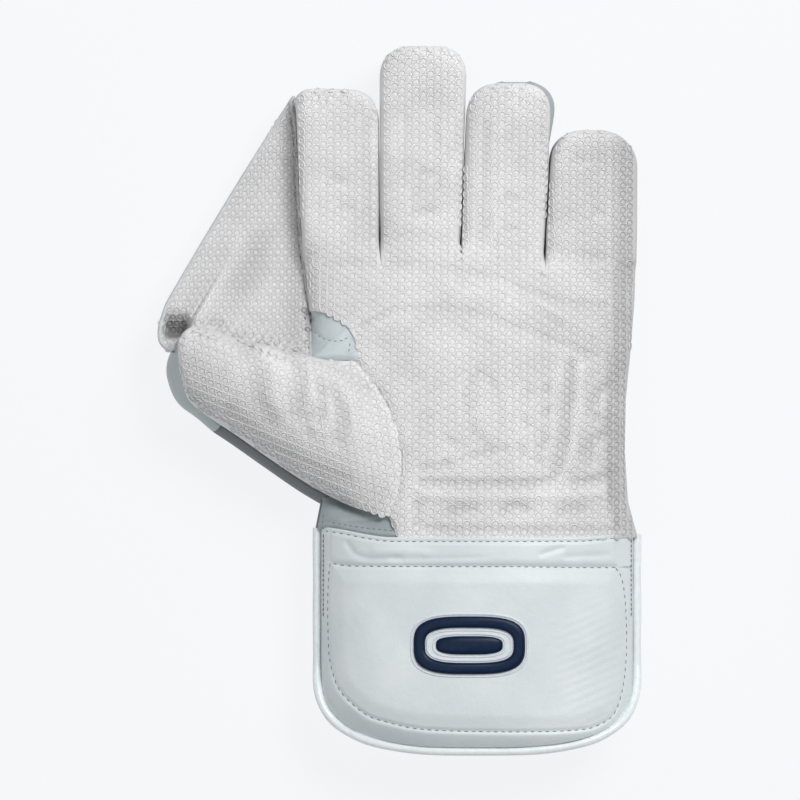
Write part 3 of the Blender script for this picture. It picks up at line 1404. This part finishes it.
@dataclass
class Web:
    """The rubber sheet between the index finger and the thumb, with its taped edge.

    Its rows run from the patch to the free edge. side is where a row starts on the hand, as a
    share of its length, rib the number of the thumb's rib where it ends, past and above how far
    beyond that rib, z the height there, and sag and bow how far it hangs and bows outwards.
    """

    wall: float = 3.0
    tape: float = 1.9
    tape_squash: float = 0.55
    side: tuple[float, ...] = (0.4562, 0.5000, 0.5627, 0.6400, 0.7200, 0.7800, 0.8150, 0.8450, 0.8720, 0.8980)
    rib: tuple[float, ...] = (1.64, 2.00, 2.79, 3.62, 5.00, 7.00, 9.00, 9.00, 9.00, 9.00)
    past: tuple[float, ...] = (0.0, 0.0, 0.0, 0.0, 0.0, 0.0, 0.022, 0.063, 0.068, 0.044)
    above: tuple[float, ...] = (0.0, 0.001, 0.001, 0.001, 0.001, 0.0, -0.0245, -0.008, 0.0245, 0.0735)
    z: tuple[float, ...] = (0.68, 0.66, 0.64, 0.62, 0.60, 0.59, 0.57, 0.53, 0.50, 0.46)
    sag: tuple[float, ...] = (0.00, 0.03, 0.07, 0.10, 0.12, 0.12, 0.10, 0.08, 0.06, 0.05)
    bow: tuple[float, ...] = (0.0, 0.0, 0.0, 0.004, 0.008, 0.008, 0.006, 0.005, 0.004, 0.004)
    welt: float = 1.5
    welt_at: float = 2.2
    groove: float = 0.9
    groove_at: float = 4.3
    relief: float = 1.3
    pocket: Pair = (-136.2, 33.0)
    pocket_depth: float = 10.0
    root: Line = ((-77.6, 41.0), (-74.8, 20.0))
    folds: tuple[Fold, ...] = (
        Fold(((-92.5, 102.9), (-110.0, 70.0), (-126.9, 38.0)), -1.1, 5.0),
        Fold(((-88.0, 108.0), (-118.0, 62.0), (-131.0, 44.0)), 0.8, 4.0),
        Fold(((-99.0, 72.0), (-112.0, 42.0)), 0.9, 6.0),
        Fold(((-90.0, 60.0), (-97.0, 45.0)), -0.7, 6.0),
        Fold(((-118.2, 34.0), (-117.4, 34.4)), 1.3, 3.2),
    )

    def points(self, row: Array, t: Array, hand: Hand, thumb: Thumb) -> Array:
        """Points of the web: straight from the index side to the thumb, sagging and bowing
        outwards by 4 t (1 - t), with a welt beside the index finger, soft pleats, gathers at
        the thumb and a pocket sunk into the outer corner.

        Args:
            row: row numbers with fractions.
            t: places from the index side, 0, to the thumb, 1.
            hand: the hand, for its sizes.
            thumb: the thumb, for its ribs.

        Returns:
            The points.
        """
        row, t = np.broadcast_arrays(row, t)
        at = curved(self.side, row)
        s = hand.section(at)
        first = hand.fingers[0]
        u = np.clip((at - hand.first_slit) / (first.tip - hand.first_slit), 0, 1)
        seam_x = np.where(at < hand.first_slit, s["left"], lerp(first.left, first.tip_left, u) * hand.width)
        ax = seam_x + 0.35 - 1.5 * smooth((row - 6.5) / 2.5)
        ay = hand.y_of(at)
        az = s["seam"] + hand.lift * u * u + self.wall / 2
        rib = np.minimum(curved(self.rib, row), len(thumb.ribs) - 1)
        rim = thumb.points(True, rib, np.full(row.shape, -1.0), 0.0, 0.0, hand)
        bx = rim[..., 0] - curved(self.past, row) * thumb.reach
        by = rim[..., 1] + curved(self.above, row) * hand.length - 0.4
        bz = curved(self.z, row) * thumb.height
        arch = 4 * t * (1 - t)
        ox, oy = ay - by, bx - ax
        size = np.hypot(ox, oy)
        bow = curved(self.bow, row) * hand.length * arch
        x = lerp(ax, bx, t) - ox / size * bow
        y = lerp(ay, by, t) - oy / size * bow
        z = lerp(az, bz, t) - curved(self.sag, row) * thumb.height * arch
        run = t * size
        rest = (1 - t) * size
        z = z + self.welt * bell(run - self.welt_at, 1.2) - self.groove * bell(run - self.groove_at, 0.8)
        z = z - self.relief * smooth(run / 5) * folded(x, y, self.folds) + 0.3 * ripple(x, y, 21, 20.0) * arch
        gather = bell(rest, 6.5) * smooth((row - 0.6) / 1.0) * smooth((5.2 - row) / 1.0)
        z = z + 0.7 * gather * gathers(x, y) * smooth(rest)
        z = z - 1.3 * (1 - smooth(row / 0.45))
        z = z - self.pocket_depth * self.sunk(x, y) * smooth((8.7 - row) / 0.8) * smooth(rest / 4.0)
        return np.stack([x, y, z], -1)

    def sunk(self, x: Array, y: Array) -> Array:
        """The pocket in the outer corner, 1 at its middle: the product of four smooth steps, one
        on each side of it.

        Args:
            x: places along X.
            y: places along Y.

        Returns:
            How deep each place lies in the pocket, from 0 to 1.
        """
        x, y = x - self.pocket[0], y - self.pocket[1]
        between = smooth((x + 7.4) / 4.5) * smooth((8.0 - x) / 5.5)
        return between * smooth((9.5 - y) / 12.0) * smooth((y + 6.2) / 2.8)

    def shade(self, x: Array, y: Array) -> Array:
        """How much darker the rubber looks in the pocket and beside the index finger.

        Args:
            x: places along X.
            y: places along Y.

        Returns:
            Darkness at each place, from 0 to 0.85.
        """
        beside = 0.13 * bell(x + 82.0, 5.0)
        root = 0.45 * bell(away(x, y, self.root), 1.2)
        low = 0.8 * self.sunk(x, y) + 0.06 * folded(x, y, self.folds)
        return np.clip(0.10 + low + beside + root, 0, 0.85)

    def line(self, rows: Array, run: float, hand: Hand, thumb: Thumb) -> Array:
        """Plan points at a distance from the index finger, row by row.

        Args:
            rows: row numbers.
            run: the distance.
            hand: the hand, for its sizes.
            thumb: the thumb, for its ribs.

        Returns:
            The plan points.
        """
        start = self.points(rows, np.zeros(rows.shape), hand, thumb)
        end = self.points(rows, np.ones(rows.shape), hand, thumb)
        size = np.hypot(*(end - start)[:, :2].T)
        return self.points(rows, run / size, hand, thumb)[:, :2]

    def build(self, hand: Hand, thumb: Thumb, wardrobe: Wardrobe) -> Skin:
        """Makes the sheet and its tape.

        Args:
            hand: the hand, for its sizes.
            thumb: the thumb, for its ribs.
            wardrobe: the materials.

        Returns:
            The sheet's skin.
        """
        last = len(self.side) - 1
        rows = np.concatenate([np.linspace(0, 5, 80), np.linspace(5, last - 0.1, 70)[1:]])[:, None]
        t = np.concatenate([np.linspace(0, 0.12, 22), np.linspace(0.12, 0.86, 60)[1:],
                            np.linspace(0.86, 1, 34)[1:]])
        outer = self.points(rows, t[None, :], hand, thumb)
        inner = outer - np.array([0, 0, self.wall])
        sheet = shell([Net(outer, inner)], True)
        tone = self.shade(sheet.points[:, 0], sheet.points[:, 1])
        make("web_rubber", sheet, wardrobe.rubber, ["web_panel"], tone)
        path = self.points(np.full(100, last - 0.06), np.linspace(0.005, 0.98, 100), hand, thumb)
        turn = np.linspace(0, np.pi / 2, 10)[1:]
        corner = self.points(last - 0.06 - 0.2 * (1 - np.cos(turn)), 0.98 + 0.02 * np.sin(turn), hand, thumb)
        foot = self.points(np.linspace(last - 0.3, 6.0, 50)[1:], np.ones(49), hand, thumb)
        path = np.concatenate([path, corner, foot])
        path[:, 2] -= self.wall / 2 - 0.2
        tape = swept(path, np.full(len(path), self.tape), 14, self.tape_squash)
        make("web_tape", tape, wardrobe.tape, ["web_binding"])
        return sheet


@dataclass
class Patch:
    """The leather patch where the palm, the thumb and the web meet.

    It slips under the rubber by lap, at a depth of under. Its lower edge follows the web's root
    up to the share bend and the thumb's rim from there. smile is its line of stitches.
    """

    wall: float = 2.0
    under: float = 1.1
    lap: float = 0.9
    bend: float = 0.52
    smile: Line = (
        (-74.3, 31.3), (-72.5, 29.9), (-70.3, 27.9), (-67.5, 27.0), (-64.4, 26.5), (-61.2, 26.7),
        (-58.5, 28.1), (-57.4, 27.5))

    def build(self, hand: Hand, thumb: Thumb, web: Web, wardrobe: Wardrobe) -> Skin:
        """Makes the patch: ruled between the rubber's edge, which it slips under, and the
        web's root and the thumb's rim.

        Args:
            hand: the hand, for its sizes.
            thumb: the thumb, for its ribs.
            web: the web, for its root.
            wardrobe: the materials.

        Returns:
            The patch's skin.
        """
        k = np.linspace(0, 1, 80)
        angle = (1 - k) * np.pi / 2
        at = lerp(hand.patch_from, hand.patch_to, np.sin(angle))
        edge = np.minimum(hand.facing_edge(at, thumb), thumb.inner_x())
        top_y = hand.y_of(at)
        z = hand.height(Side.PALM, edge, at, 0.0) - self.under
        top = np.stack([edge + self.lap * np.cos(angle), top_y + self.lap * np.sin(angle), z], -1)
        way = np.clip(k / self.bend, 0, 1) * 0.94 + 0.03
        root = web.points(np.zeros(k.shape), way, hand, thumb) + np.array([0.3, 0, 0])
        rib = lerp(1.6, 0.0, np.clip((k - self.bend) / (1 - self.bend), 0, 1))
        rim = thumb.points(True, rib, np.full(k.shape, -1.0), 0.0, 0.0, hand) + np.array([0, -0.6, -0.9])
        foot = np.where((k < self.bend)[:, None], root, rim)
        t = np.linspace(0, 1, 48)[:, None, None]
        points = top[None] + (foot - top)[None] * t
        x, y = points[..., 0], points[..., 1]
        rise = np.sin(np.pi * t[..., 0])
        points[..., 2] += 1.6 * rise + 0.3 * ripple(x, y, 5, 14.0)
        points[..., 2] += 0.55 * bell(y - 20.2 - 0.03 * (x + 65), 1.5)
        points[..., 2] -= Fold(self.smile, 0.4, 0.8).drop(x, y)
        skin = shell([Net(points, points - np.array([0, 0, self.wall]))], True)
        make("patch_leather", skin, wardrobe.patch, ["crotch_patch"])
        return skin


# The cuff


@dataclass
class Cuff:
    """The padded gauntlet: two leather flaps with piping, and the heel strip by the thumb.

    inner is the pad's stitched outline below its top row, whose height is row_y. Inside it the
    leather swells by pillow, above it by strip_rise, and outside it falls towards the piping by
    fall. groove is how deep the stitches press, and top_row and side_row are the places of the
    two outer rows.
    """

    length: float = 94.7
    width: float = 149.0
    depth: float = 57.0
    corner: float = 35.0
    piping: float = 3.6
    flap: float = 5.0
    gap: float = 0.3
    square: float = 2.4
    corner_square: float = 3.0
    row_y: float = -74.6
    top_row: float = 1.8
    side_row: float = 69.4
    sunken: float = 0.5
    pillow: float = 1.3
    strip_rise: float = 0.7
    groove: float = 0.85
    fall: float = 8.5
    wrinkle: float = 0.048
    heel_wall: float = 2.0
    heel_lap: float = 1.8
    roll_climb: Pair = (4.0, 1.0)
    folds: tuple[Fold, ...] = (
        Fold(((-58.5, -64.8), (-54.5, -69.4), (-46.7, -71.4), (-35.0, -70.8)), 0.7, 1.6),
        Fold(((-46.0, -67.6), (-32.0, -67.4), (-23.0, -68.6)), -0.5, 2.2),
        Fold(((-38.0, -71.2), (0.0, -70.6)), 0.35, 1.3),
        Fold(((28.5, -69.0), (37.6, -66.2)), 0.6, 1.3),
        Fold(((40.0, -70.2), (58.0, -69.6)), 0.4, 1.5),
        Fold(((-46.0, -88.0), (-40.0, -98.0), (-32.6, -109.0)), 0.6, 8.0),
        Fold(((-60.0, -86.0), (-58.0, -118.0)), 0.5, 6.0),
    )
    inner: Line = (
        (-66.2, -72.9), (-66.9, -78.0), (-67.5, -90.7), (-67.2, -108.8), (-66.4, -117.9), (-65.0, -123.5),
        (-62.5, -129.9), (-58.6, -134.5), (-53.6, -138.8), (-48.5, -142.1), (-40.3, -144.5), (-26.0, -147.3),
        (0.0, -148.4), (32.0, -148.5), (47.6, -147.7), (53.0, -146.4), (58.9, -143.6), (62.1, -139.9),
        (64.6, -133.4), (66.2, -125.6), (67.2, -113.3), (67.1, -100.0), (66.2, -86.6), (64.6, -79.5),
        (62.4, -75.9))

    @property
    def half(self) -> float:
        """Half width of a flap inside its piping."""
        return self.width / 2 - self.piping - self.gap

    def top_edge(self, x: Array) -> Array:
        """Y of the flap's edge at the wrist, which climbs at both sides."""
        climb = 4.3 * smooth((-38.0 - x) / 34.0) + 1.9 * smooth((x - 46.0) / 25.0)
        return -61.5 + climb

    def row(self, x: Array) -> Array:
        """Y of the stitches across the top of the pad, which dip at its right corner."""
        return self.row_y - 0.7 * smooth((x - 10.0) / 50.0) + 0.9 * smooth((-58.0 - x) / 8.0)

    def rounded(self) -> Array:
        """The pad's outline below its top row, smoothed by a Catmull-Rom curve."""
        places = np.linspace(0, len(self.inner) - 1, 150)
        return np.stack([curved([p[k] for p in self.inner], places) for k in (0, 1)], -1)

    def mouth(self, x: Array, hand: Hand) -> Array:
        """Y of the mouth's edge: wrist - straight side - corner * rounded profile."""
        straight = self.length - self.corner
        return -hand.wrist - straight - self.corner * cap(x / self.half, self.corner_square)

    def height(self, side: Side, x: Array, y: Array, inset: float) -> Array:
        """Height of a flap: seam +- depth * rounded profile, with the pillow inside its
        stitches, the groove that they press, the creases at the wrist and, outside the
        stitches, a fall of fall * (distance / 10)^1.5.

        Args:
            side: palm or back.
            x: places along X.
            y: places along Y.
            inset: distance inwards from the outer face.

        Returns:
            Heights over the floor.
        """
        seam = self.depth / 2
        profile = cap(x / (self.half - inset), self.square)
        if side is Side.BACK:
            return np.maximum(inset, seam - self.gap / 2 - (seam + 2.5 - inset) * profile)
        z = seam + self.gap / 2 + (self.depth - seam - inset) * profile
        pad = away(x, y, [tuple(point) for point in self.rounded()[::3].tolist()])
        inside = self.inside(x, y)
        above = y > self.row(x)
        slope = -self.fall * np.clip(pad / 10.0, 0, 1.2) ** 1.5 * (1 - above) * (1 - inside)
        if inset > 0:
            return z + slope * smooth(profile * 1.4)
        top = np.abs(y - self.row(x)) + 9.0 * (x < -66.5) + 9.0 * (x > 63.0)
        near = np.minimum(pad, top)
        strip = above & (x > -66.0) & (x < 62.0)
        pillow = np.where(inside, self.pillow * smooth(near / 8.0), slope)
        pillow = np.where(strip, self.strip_rise * smooth(near / 3.5), pillow) - self.sunken
        rows = self.groove * bell(near, 0.95) + 0.7 * bell(y - self.top_edge(x) + self.top_row, 0.9)
        rows = rows + bell(np.abs(x) - self.side_row, 0.8) * smooth((y + 128) / 12)
        phase = 2 * np.pi * (y - 0.40 * x) / 3.9 + 0.6 * ripple(x, y, 31, 30.0)
        off = ((x - 54) / 19) ** 2 + ((y + 120) / 30) ** 2
        fine = self.wrinkle * np.sin(phase) * bell(off, 1.0) + 0.5 * ripple(x, y, 8, 44.0)
        relief = pillow - rows - folded(x, y, self.folds) + fine
        return z + relief * smooth(profile * 1.4)

    def inside(self, x: Array, y: Array) -> Array:
        """Which points lie inside the pad: an odd number of its outline's edges lie above.

        Args:
            x: places along X.
            y: places along Y.

        Returns:
            True at each point inside.
        """
        ring = self.rounded()[::3]
        odd = np.zeros(np.broadcast(x, y).shape, bool)
        for (ax, ay), (bx, by) in zip(ring[:-1], ring[1:]):
            spans = (ax <= x) != (bx <= x)
            if bx != ax:
                odd ^= spans & (y > ay + (by - ay) * (x - ax) / (bx - ax))
        return odd & (y < self.row(x))

    def skin(self, side: Side, hand: Hand, rows: int, columns: int) -> Skin:
        """Closed skin of a flap. Its columns run straight down to the curved mouth.

        Args:
            side: palm or back.
            hand: the hand, for its sizes.
            rows: number of rows.
            columns: number of columns.

        Returns:
            The closed skin.
        """
        f = across(columns, self.corner_square)[None, :]
        t = np.linspace(0, 1, rows)[:, None]
        grids = []
        for inset in (0.0, self.flap):
            x = np.broadcast_to(f * (self.half - inset), (rows, columns + 1))
            start = self.top_edge(x) if side is Side.PALM else -hand.wrist - self.gap
            y = lerp(start, self.mouth(f * self.half, hand), t)
            z = self.height(side, x, y, inset)
            if side is Side.PALM and inset == 0.0:
                z = z - 0.8 * bell(y - start, 0.5)
            grids.append(np.stack([x, y, z], -1))
        return shell([Net(*grids)], side is Side.PALM)

    def pipe(self, side: Side, hand: Hand, whole: bool) -> Skin:
        """The roll just outside a flap's edge: down one side, round the mouth, up the other.

        Args:
            side: palm or back.
            hand: the hand, for its sizes.
            whole: True for the sides as well as the mouth.

        Returns:
            The roll's skin.
        """
        f = across(150, self.corner_square)
        x = f * self.half
        y = self.mouth(x, hand)
        outer = self.height(side, x, y, 0.001)
        inner = self.height(side, f * (self.half - self.flap), y, self.flap)
        edge = np.stack([x, y, (outer + inner) / 2], -1)
        if whole:
            t = np.linspace(0.012, 0.97, 40)
            foot = self.mouth(np.array(self.half), hand)
            seam = np.full(t.shape, self.depth / 2)
            left, right = (
                np.stack([np.full(t.shape, end * self.half), lerp(-hand.wrist + climb, foot, t), seam], -1)
                for end, climb in ((-1, self.roll_climb[0]), (1, self.roll_climb[1])))
            edge = np.concatenate([left, edge, right[::-1]])
        else:
            edge = edge[3:-3]
        run = np.gradient(edge, axis=0)
        normal = np.stack([run[:, 1], -run[:, 0]], -1)
        normal /= np.linalg.norm(normal, axis=1, keepdims=True)
        path = edge.copy()
        path[:, :2] += normal * (self.piping / 2 + self.gap - 0.2)
        radii = (self.piping / 2 + 0.15) * (1 + 0.04 * np.sin(np.arange(len(path)) * 0.31))
        return swept(path, radii, 16)

    def heel(self, hand: Hand, thumb: Thumb) -> Skin:
        """The leather strip between the thumb's lower edge and the cuff. It slips under the
        palm's rubber and dips under the thumb's front.

        Args:
            hand: the hand, for its sizes.
            thumb: the thumb, for its ribs.

        Returns:
            The strip's closed skin.
        """
        t = np.linspace(0, 1, 70)[None, :]
        v = np.linspace(0, 1, 44)[:, None]
        r = 2.2 * (1 - t)
        rim = thumb.points(True, r, np.ones(r.shape), 0.0, 0.0, hand)
        inner = hand.heel_x[0] * hand.width
        start = self.top_edge(lerp(-72.0, inner, t)) - 1.2
        y = lerp(start, np.maximum(rim[..., 1] + self.heel_lap, start + 2.0), v)
        at = hand.share_of(y)
        side = hand.left_side(at) + 1.0
        foot = lerp(side, inner + 1.2, t)
        x = np.maximum(lerp(foot, rim[..., 0] + 1.4, v), side)
        free = hand.height(Side.PALM, x, at, 0.0) - 1.3 - 2.4 * smooth((start + 2.6 - y) / 2.6)
        dip = np.maximum(0, free - rim[..., 2] + 3.4)
        z = free - dip * smooth(v * 1.05) ** 1.6
        crease = 0.5 * bell(y + 54.6 - 0.06 * (x + 60), 0.8) + 0.25 * ripple(x, y, 44, 9.0)
        outer = np.stack([x, y, z - crease * smooth((x + 73) / 3)], -1)
        return shell([Net(outer, outer - np.array([0, 0, self.heel_wall]))], False)

    def build(self, hand: Hand, thumb: Thumb, wardrobe: Wardrobe) -> tuple[Skin, Skin]:
        """Makes the flaps, the piping and the heel strip.

        Args:
            hand: the hand, for its sizes.
            thumb: the thumb, for its ribs.
            wardrobe: the materials.

        Returns:
            The palm flap's skin and the heel strip's.
        """
        palm = self.skin(Side.PALM, hand, 215, 210)
        piece = make("cuff_palm_leather", palm, wardrobe.leather, ["cuff_palm_flap"])
        back = self.skin(Side.BACK, hand, 60, 70)
        piece = make("cuff_back_leather", back, wardrobe.leather, ["cuff_back_flap"])
        roll = self.pipe(Side.PALM, hand, True)
        make("cuff_palm_roll", roll, wardrobe.piping, ["cuff_palm_piping"])
        roll = self.pipe(Side.BACK, hand, False)
        make("cuff_back_roll", roll, wardrobe.piping, ["cuff_back_piping"])
        heel = self.heel(hand, thumb)
        make("heel_leather", heel, wardrobe.heel, ["heel_band"])
        return palm, heel


@dataclass
class Badge:
    """A plain raised motif: a padded navy band round a navy bar, each in a raised outline.

    band and bar hold the shares of the motif's half sizes at which each starts and ends.
    """

    width: float = 50.0
    length: float = 26.0
    height: float = 1.7
    from_wrist: float = 48.5
    aside: float = 3.9
    square: float = 3.2
    welt: float = 1.0
    welt_radius: float = 0.62
    welt_sunk: float = 0.15
    swell: float = 2.6
    band: tuple[Pair, Pair] = ((0.79, 0.60), (1.0, 1.0))
    bar: tuple[Pair, Pair] = ((0.001, 0.001), (0.60, 0.32))

    def outline(self, cuff: Cuff, hand: Hand, share: Sequence[float], grow: float, n: int) -> Array:
        """Closed rounded rectangle: half sizes are shares of the motif's, grown by a length,
        and x = a * cos^(2/n), y = b * sin^(2/n).

        Args:
            cuff: the cuff, for its surface.
            hand: the hand, for its sizes.
            share: shares of the motif's half width and half length.
            grow: length added to both.
            n: number of points.

        Returns:
            Points on the cuff.
        """
        angle = np.linspace(0, 2 * np.pi, n)
        x = powered(np.cos(angle), 2 / self.square) * (self.width / 2 * share[0] + grow) - self.aside
        y = powered(np.sin(angle), 2 / self.square) * (self.length / 2 * share[1] + grow)
        y = y - hand.wrist - self.from_wrist
        return np.stack([x, y, cuff.height(Side.PALM, x, y, 0.0)], -1)

    def ring(self, cuff: Cuff, hand: Hand, sizes: Line, height: float) -> Skin:
        """Padded ring between two outlines: height * (1 - |2 place - 1|^n)^(1/n).

        Args:
            cuff: the cuff, for its surface.
            hand: the hand, for its sizes.
            sizes: the shares of the inner and of the outer outline.
            height: how high the ring stands.

        Returns:
            The closed skin.
        """
        place = np.linspace(0, 1, 19)
        solid = sizes[0][0] < 0.01
        shares = lerp(np.array(sizes[0]), np.array(sizes[1]), place[:, None])
        base = np.stack([self.outline(cuff, hand, share, 0.0, 121) for share in shares])
        swell = cap(place if solid else 2 * place - 1, self.swell)
        top = base + np.array([0.0, 0.0, 1.0]) * (0.2 + height * swell[:, None, None])
        return shell([Net(top, base)], True)

    def build(self, cuff: Cuff, hand: Hand, wardrobe: Wardrobe) -> None:
        """Makes the band, the bar and the pale outlines round them.

        Args:
            cuff: the cuff, for its surface.
            hand: the hand, for its sizes.
            wardrobe: the materials.
        """
        band = self.ring(cuff, hand, self.band, self.height)
        make("badge_ring", band, wardrobe.badge, ["badge_band"])
        bar = self.ring(cuff, hand, self.bar, self.height)
        make("badge_middle", bar, wardrobe.badge, ["badge_bar"])
        for name, share, grow in (("outer", self.band[1], self.welt), ("inner", self.band[0], -self.welt),
                                  ("middle", self.bar[1], self.welt)):
            path = self.outline(cuff, hand, share, grow, 181)
            sunk = path - np.array([0, 0, self.welt_sunk])
            welt = swept(sunk, np.full(len(path), self.welt_radius), 10)
            make(f"badge_outline_{name}", welt, wardrobe.welt)


@dataclass
class Trim:
    """The pimples and the stitching, seated on the finished skins."""

    cell: Pimples = Pimples()
    web_cell: Pimples = Pimples(pitch=3.4)
    knuckles: float = 72.0
    side_x: float = 69.5
    side_y: Pair = (-60.5, -98.0)
    cuff_thread: Stitching = Stitching()
    side_thread: Stitching = Stitching(2.2, 1.9, 0.75)
    heel_thread: Stitching = Stitching(2.6, 1.7, 0.5)
    fine_thread: Stitching = Stitching(2.6, 1.6, 0.45)
    web_thread: Stitching = Stitching(2.7, 1.8, 0.55)
    heel_lines: tuple[Line, ...] = (
        ((-70.0, -59.0), (-69.6, -52.0)),
        ((-66.0, -55.2), (-52.0, -57.4), (-38.5, -58.6)),
    )
    smile_end: Line = ((-57.3, 26.2), (-57.9, 22.0))
    top_x: Pair = (-69.5, 69.0)
    row_x: Pair = (-65.8, 62.2)
    web_row: float = 4.2

    def pimples(self, skins: dict[str, Skin], makers: tuple[Hand, Thumb, Web], wardrobe: Wardrobe) -> None:
        """Sets the cells over the three rubber pieces.

        Args:
            skins: the finished skins by name.
            makers: the hand, the thumb and the web.
            wardrobe: the materials.
        """
        hand, thumb, web = makers
        spots, tree = self.cell.lattice((-84, -64), (74, 161)), skins["palm"].tree()
        low = spots[:, 1] < self.knuckles
        for name, chosen in (("palm", low), ("finger", ~low)):
            skin, tone = self.cell.over(tree, spots[chosen], 0.35, hand.shade)
            make(f"{name}_pimples", skin, wardrobe.rubber, tone=tone)
        spots = self.cell.lattice((-136, -54), (-33, 34), 8.0)
        skin, tone = self.cell.over(skins["thumb"].tree(), spots, 0.2, thumb.shade)
        make("thumb_pimples", skin, wardrobe.rubber, tone=tone)
        spots = self.web_cell.lattice((-144, 18), (-74, 134), 90.0)
        skin, tone = self.web_cell.over(skins["web"].tree(), spots, 0.25, web.shade)
        make("web_pimples", skin, wardrobe.rubber, tone=tone)

    def stitches(self, skins: dict[str, Skin], makers: tuple[Hand, Thumb, Web], cuff: Cuff, patch: Patch,
                 wardrobe: Wardrobe) -> None:
        """Sets every visible row of stitches.

        Args:
            skins: the finished skins by name.
            makers: the hand, the thumb and the web.
            cuff: the cuff, for its surface.
            patch: the patch, for its stitch line.
            wardrobe: the materials.
        """
        hand, thumb, web = makers
        x = np.linspace(*self.top_x, 60)
        top = np.stack([x, cuff.top_edge(x) - cuff.top_row], -1)
        x = np.linspace(*self.row_x, 60)
        row = np.stack([x, cuff.row(x)], -1)
        tree = skins["cuff"].tree()
        skin = self.cuff_thread.along(tree, [top, row, cuff.rounded()])
        make("cuff_stitches", skin, wardrobe.thread)
        sides = [[(x, y) for y in self.side_y] for x in (-self.side_x, self.side_x)]
        skin = self.side_thread.along(tree, sides)
        make("cuff_side_stitches", skin, wardrobe.dark)
        skin = self.heel_thread.along(skins["heel"].tree(), self.heel_lines)
        make("heel_stitches", skin, wardrobe.thread)
        skin = self.fine_thread.along(skins["patch"].tree(), [patch.smile, self.smile_end])
        make("patch_stitches", skin, wardrobe.thread)
        rim = thumb.points(True, np.linspace(1.4, 8.0, 90), np.full(90, 0.86), 0.0, 0.0, hand)[:, :2]
        tip = thumb.points(True, np.full(20, 8.3), np.linspace(0.8, -0.9, 20), 0.0, 0.0, hand)[:, :2]
        skin = self.fine_thread.along(skins["thumb"].tree(), [np.concatenate([rim, tip])])
        make("thumb_stitches", skin, wardrobe.thread)
        groove = web.line(np.linspace(0.7, 8.6, 60), self.web_row, hand, thumb)
        root = np.array(web.root) - [0.9, 0.0]
        skin = self.web_thread.along(skins["web"].tree(), [groove, root])
        make("web_stitches", skin, wardrobe.dark)


@dataclass
class Studio:
    """Pale floor, soft light and a camera straight above."""

    frame_width: float = 0.3626
    lens: float = 220.0
    sensor: float = 36.0
    floor_half: float = 3.0
    middle: tuple[float, float, float] = (-0.0349, 0.0, 0.028)

    def floor(self) -> None:
        """A wide pale floor that glows, so that shadows on it stay faint."""
        mesh = bpy.data.meshes.new("floor")
        size = self.floor_half
        corners = [(-size, -size, 0), (size, -size, 0), (size, size, 0), (-size, size, 0)]
        mesh.from_pydata(corners, [], [(0, 1, 2, 3)])
        floor = bpy.data.objects.new("floor", mesh)
        bpy.context.scene.collection.objects.link(floor)
        material, _, shader = node_tree("pale floor")
        shader.inputs["Base Color"].default_value = (0.09, 0.091, 0.093, 1)
        shader.inputs["Roughness"].default_value = 0.9
        shader.inputs["Specular IOR Level"].default_value = 0.0
        shader.inputs["Emission Color"].default_value = (0.93, 0.94, 0.955, 1)
        shader.inputs["Emission Strength"].default_value = 0.91
        mesh.materials.append(material)

    def light(self, name: str, place: Vector, size: float, power: float) -> None:
        """An area light aimed at the middle of the glove.

        Args:
            name: the light's name.
            place: where it stands, in metres.
            size: its side.
            power: its power in watts.
        """
        data = bpy.data.lights.new(name, "AREA")
        data.shape = "SQUARE"
        data.size = size
        data.energy = power
        lamp = bpy.data.objects.new(name, data)
        lamp.location = place
        lamp.rotation_euler = (Vector((0, 0, 0.02)) - place).to_track_quat("-Z", "Y").to_euler()
        bpy.context.scene.collection.objects.link(lamp)

    def camera(self) -> None:
        """Camera over the glove: distance = frame width * lens / sensor width."""
        data = bpy.data.cameras.new("camera")
        data.lens = self.lens
        data.sensor_width = self.sensor
        camera = bpy.data.objects.new("camera", data)
        distance = self.frame_width * self.lens / self.sensor
        camera.location = (self.middle[0], self.middle[1], self.middle[2] + distance)
        bpy.context.scene.collection.objects.link(camera)
        bpy.context.scene.camera = camera

    def build(self) -> None:
        """Sets the floor, the lights, the sky and the camera."""
        self.floor()
        self.light("key", Vector((0.46, 0.62, 1.25)), 0.6, 14.5)
        self.light("fill", Vector((-0.5, -0.2, 1.5)), 1.2, 4.0)
        world = bpy.data.worlds.new("studio")
        world.use_nodes = True
        world.node_tree.nodes["Background"].inputs["Color"].default_value = (0.95, 0.97, 1.0, 1)
        world.node_tree.nodes["Background"].inputs["Strength"].default_value = 0.28
        bpy.context.scene.world = world
        bpy.context.scene.view_settings.view_transform = "Standard"
        self.camera()


def main() -> None:
    """Builds the studio and the glove, piece by piece."""
    logging.basicConfig(level=logging.INFO, format="%(message)s")
    Studio().build()
    wardrobe = Wardrobe()
    hand, thumb, web, cuff, patch = Hand(), Thumb(), Web(), Cuff(), Patch()
    hand.folds += (Fold(thumb.seam_line(hand), 0.7, 2.2),)
    palm = hand.build(thumb, wardrobe)
    front = thumb.build(hand, wardrobe)
    sheet = web.build(hand, thumb, wardrobe)
    corner = patch.build(hand, thumb, web, wardrobe)
    flap, heel = cuff.build(hand, thumb, wardrobe)
    Badge().build(cuff, hand, wardrobe)
    skins = {"palm": palm, "thumb": front, "web": sheet, "patch": corner, "cuff": flap, "heel": heel}
    trim, makers = Trim(), (hand, thumb, web)
    trim.pimples(skins, makers, wardrobe)
    trim.stitches(skins, makers, cuff, patch, wardrobe)


if __name__ == "__main__":
    main()
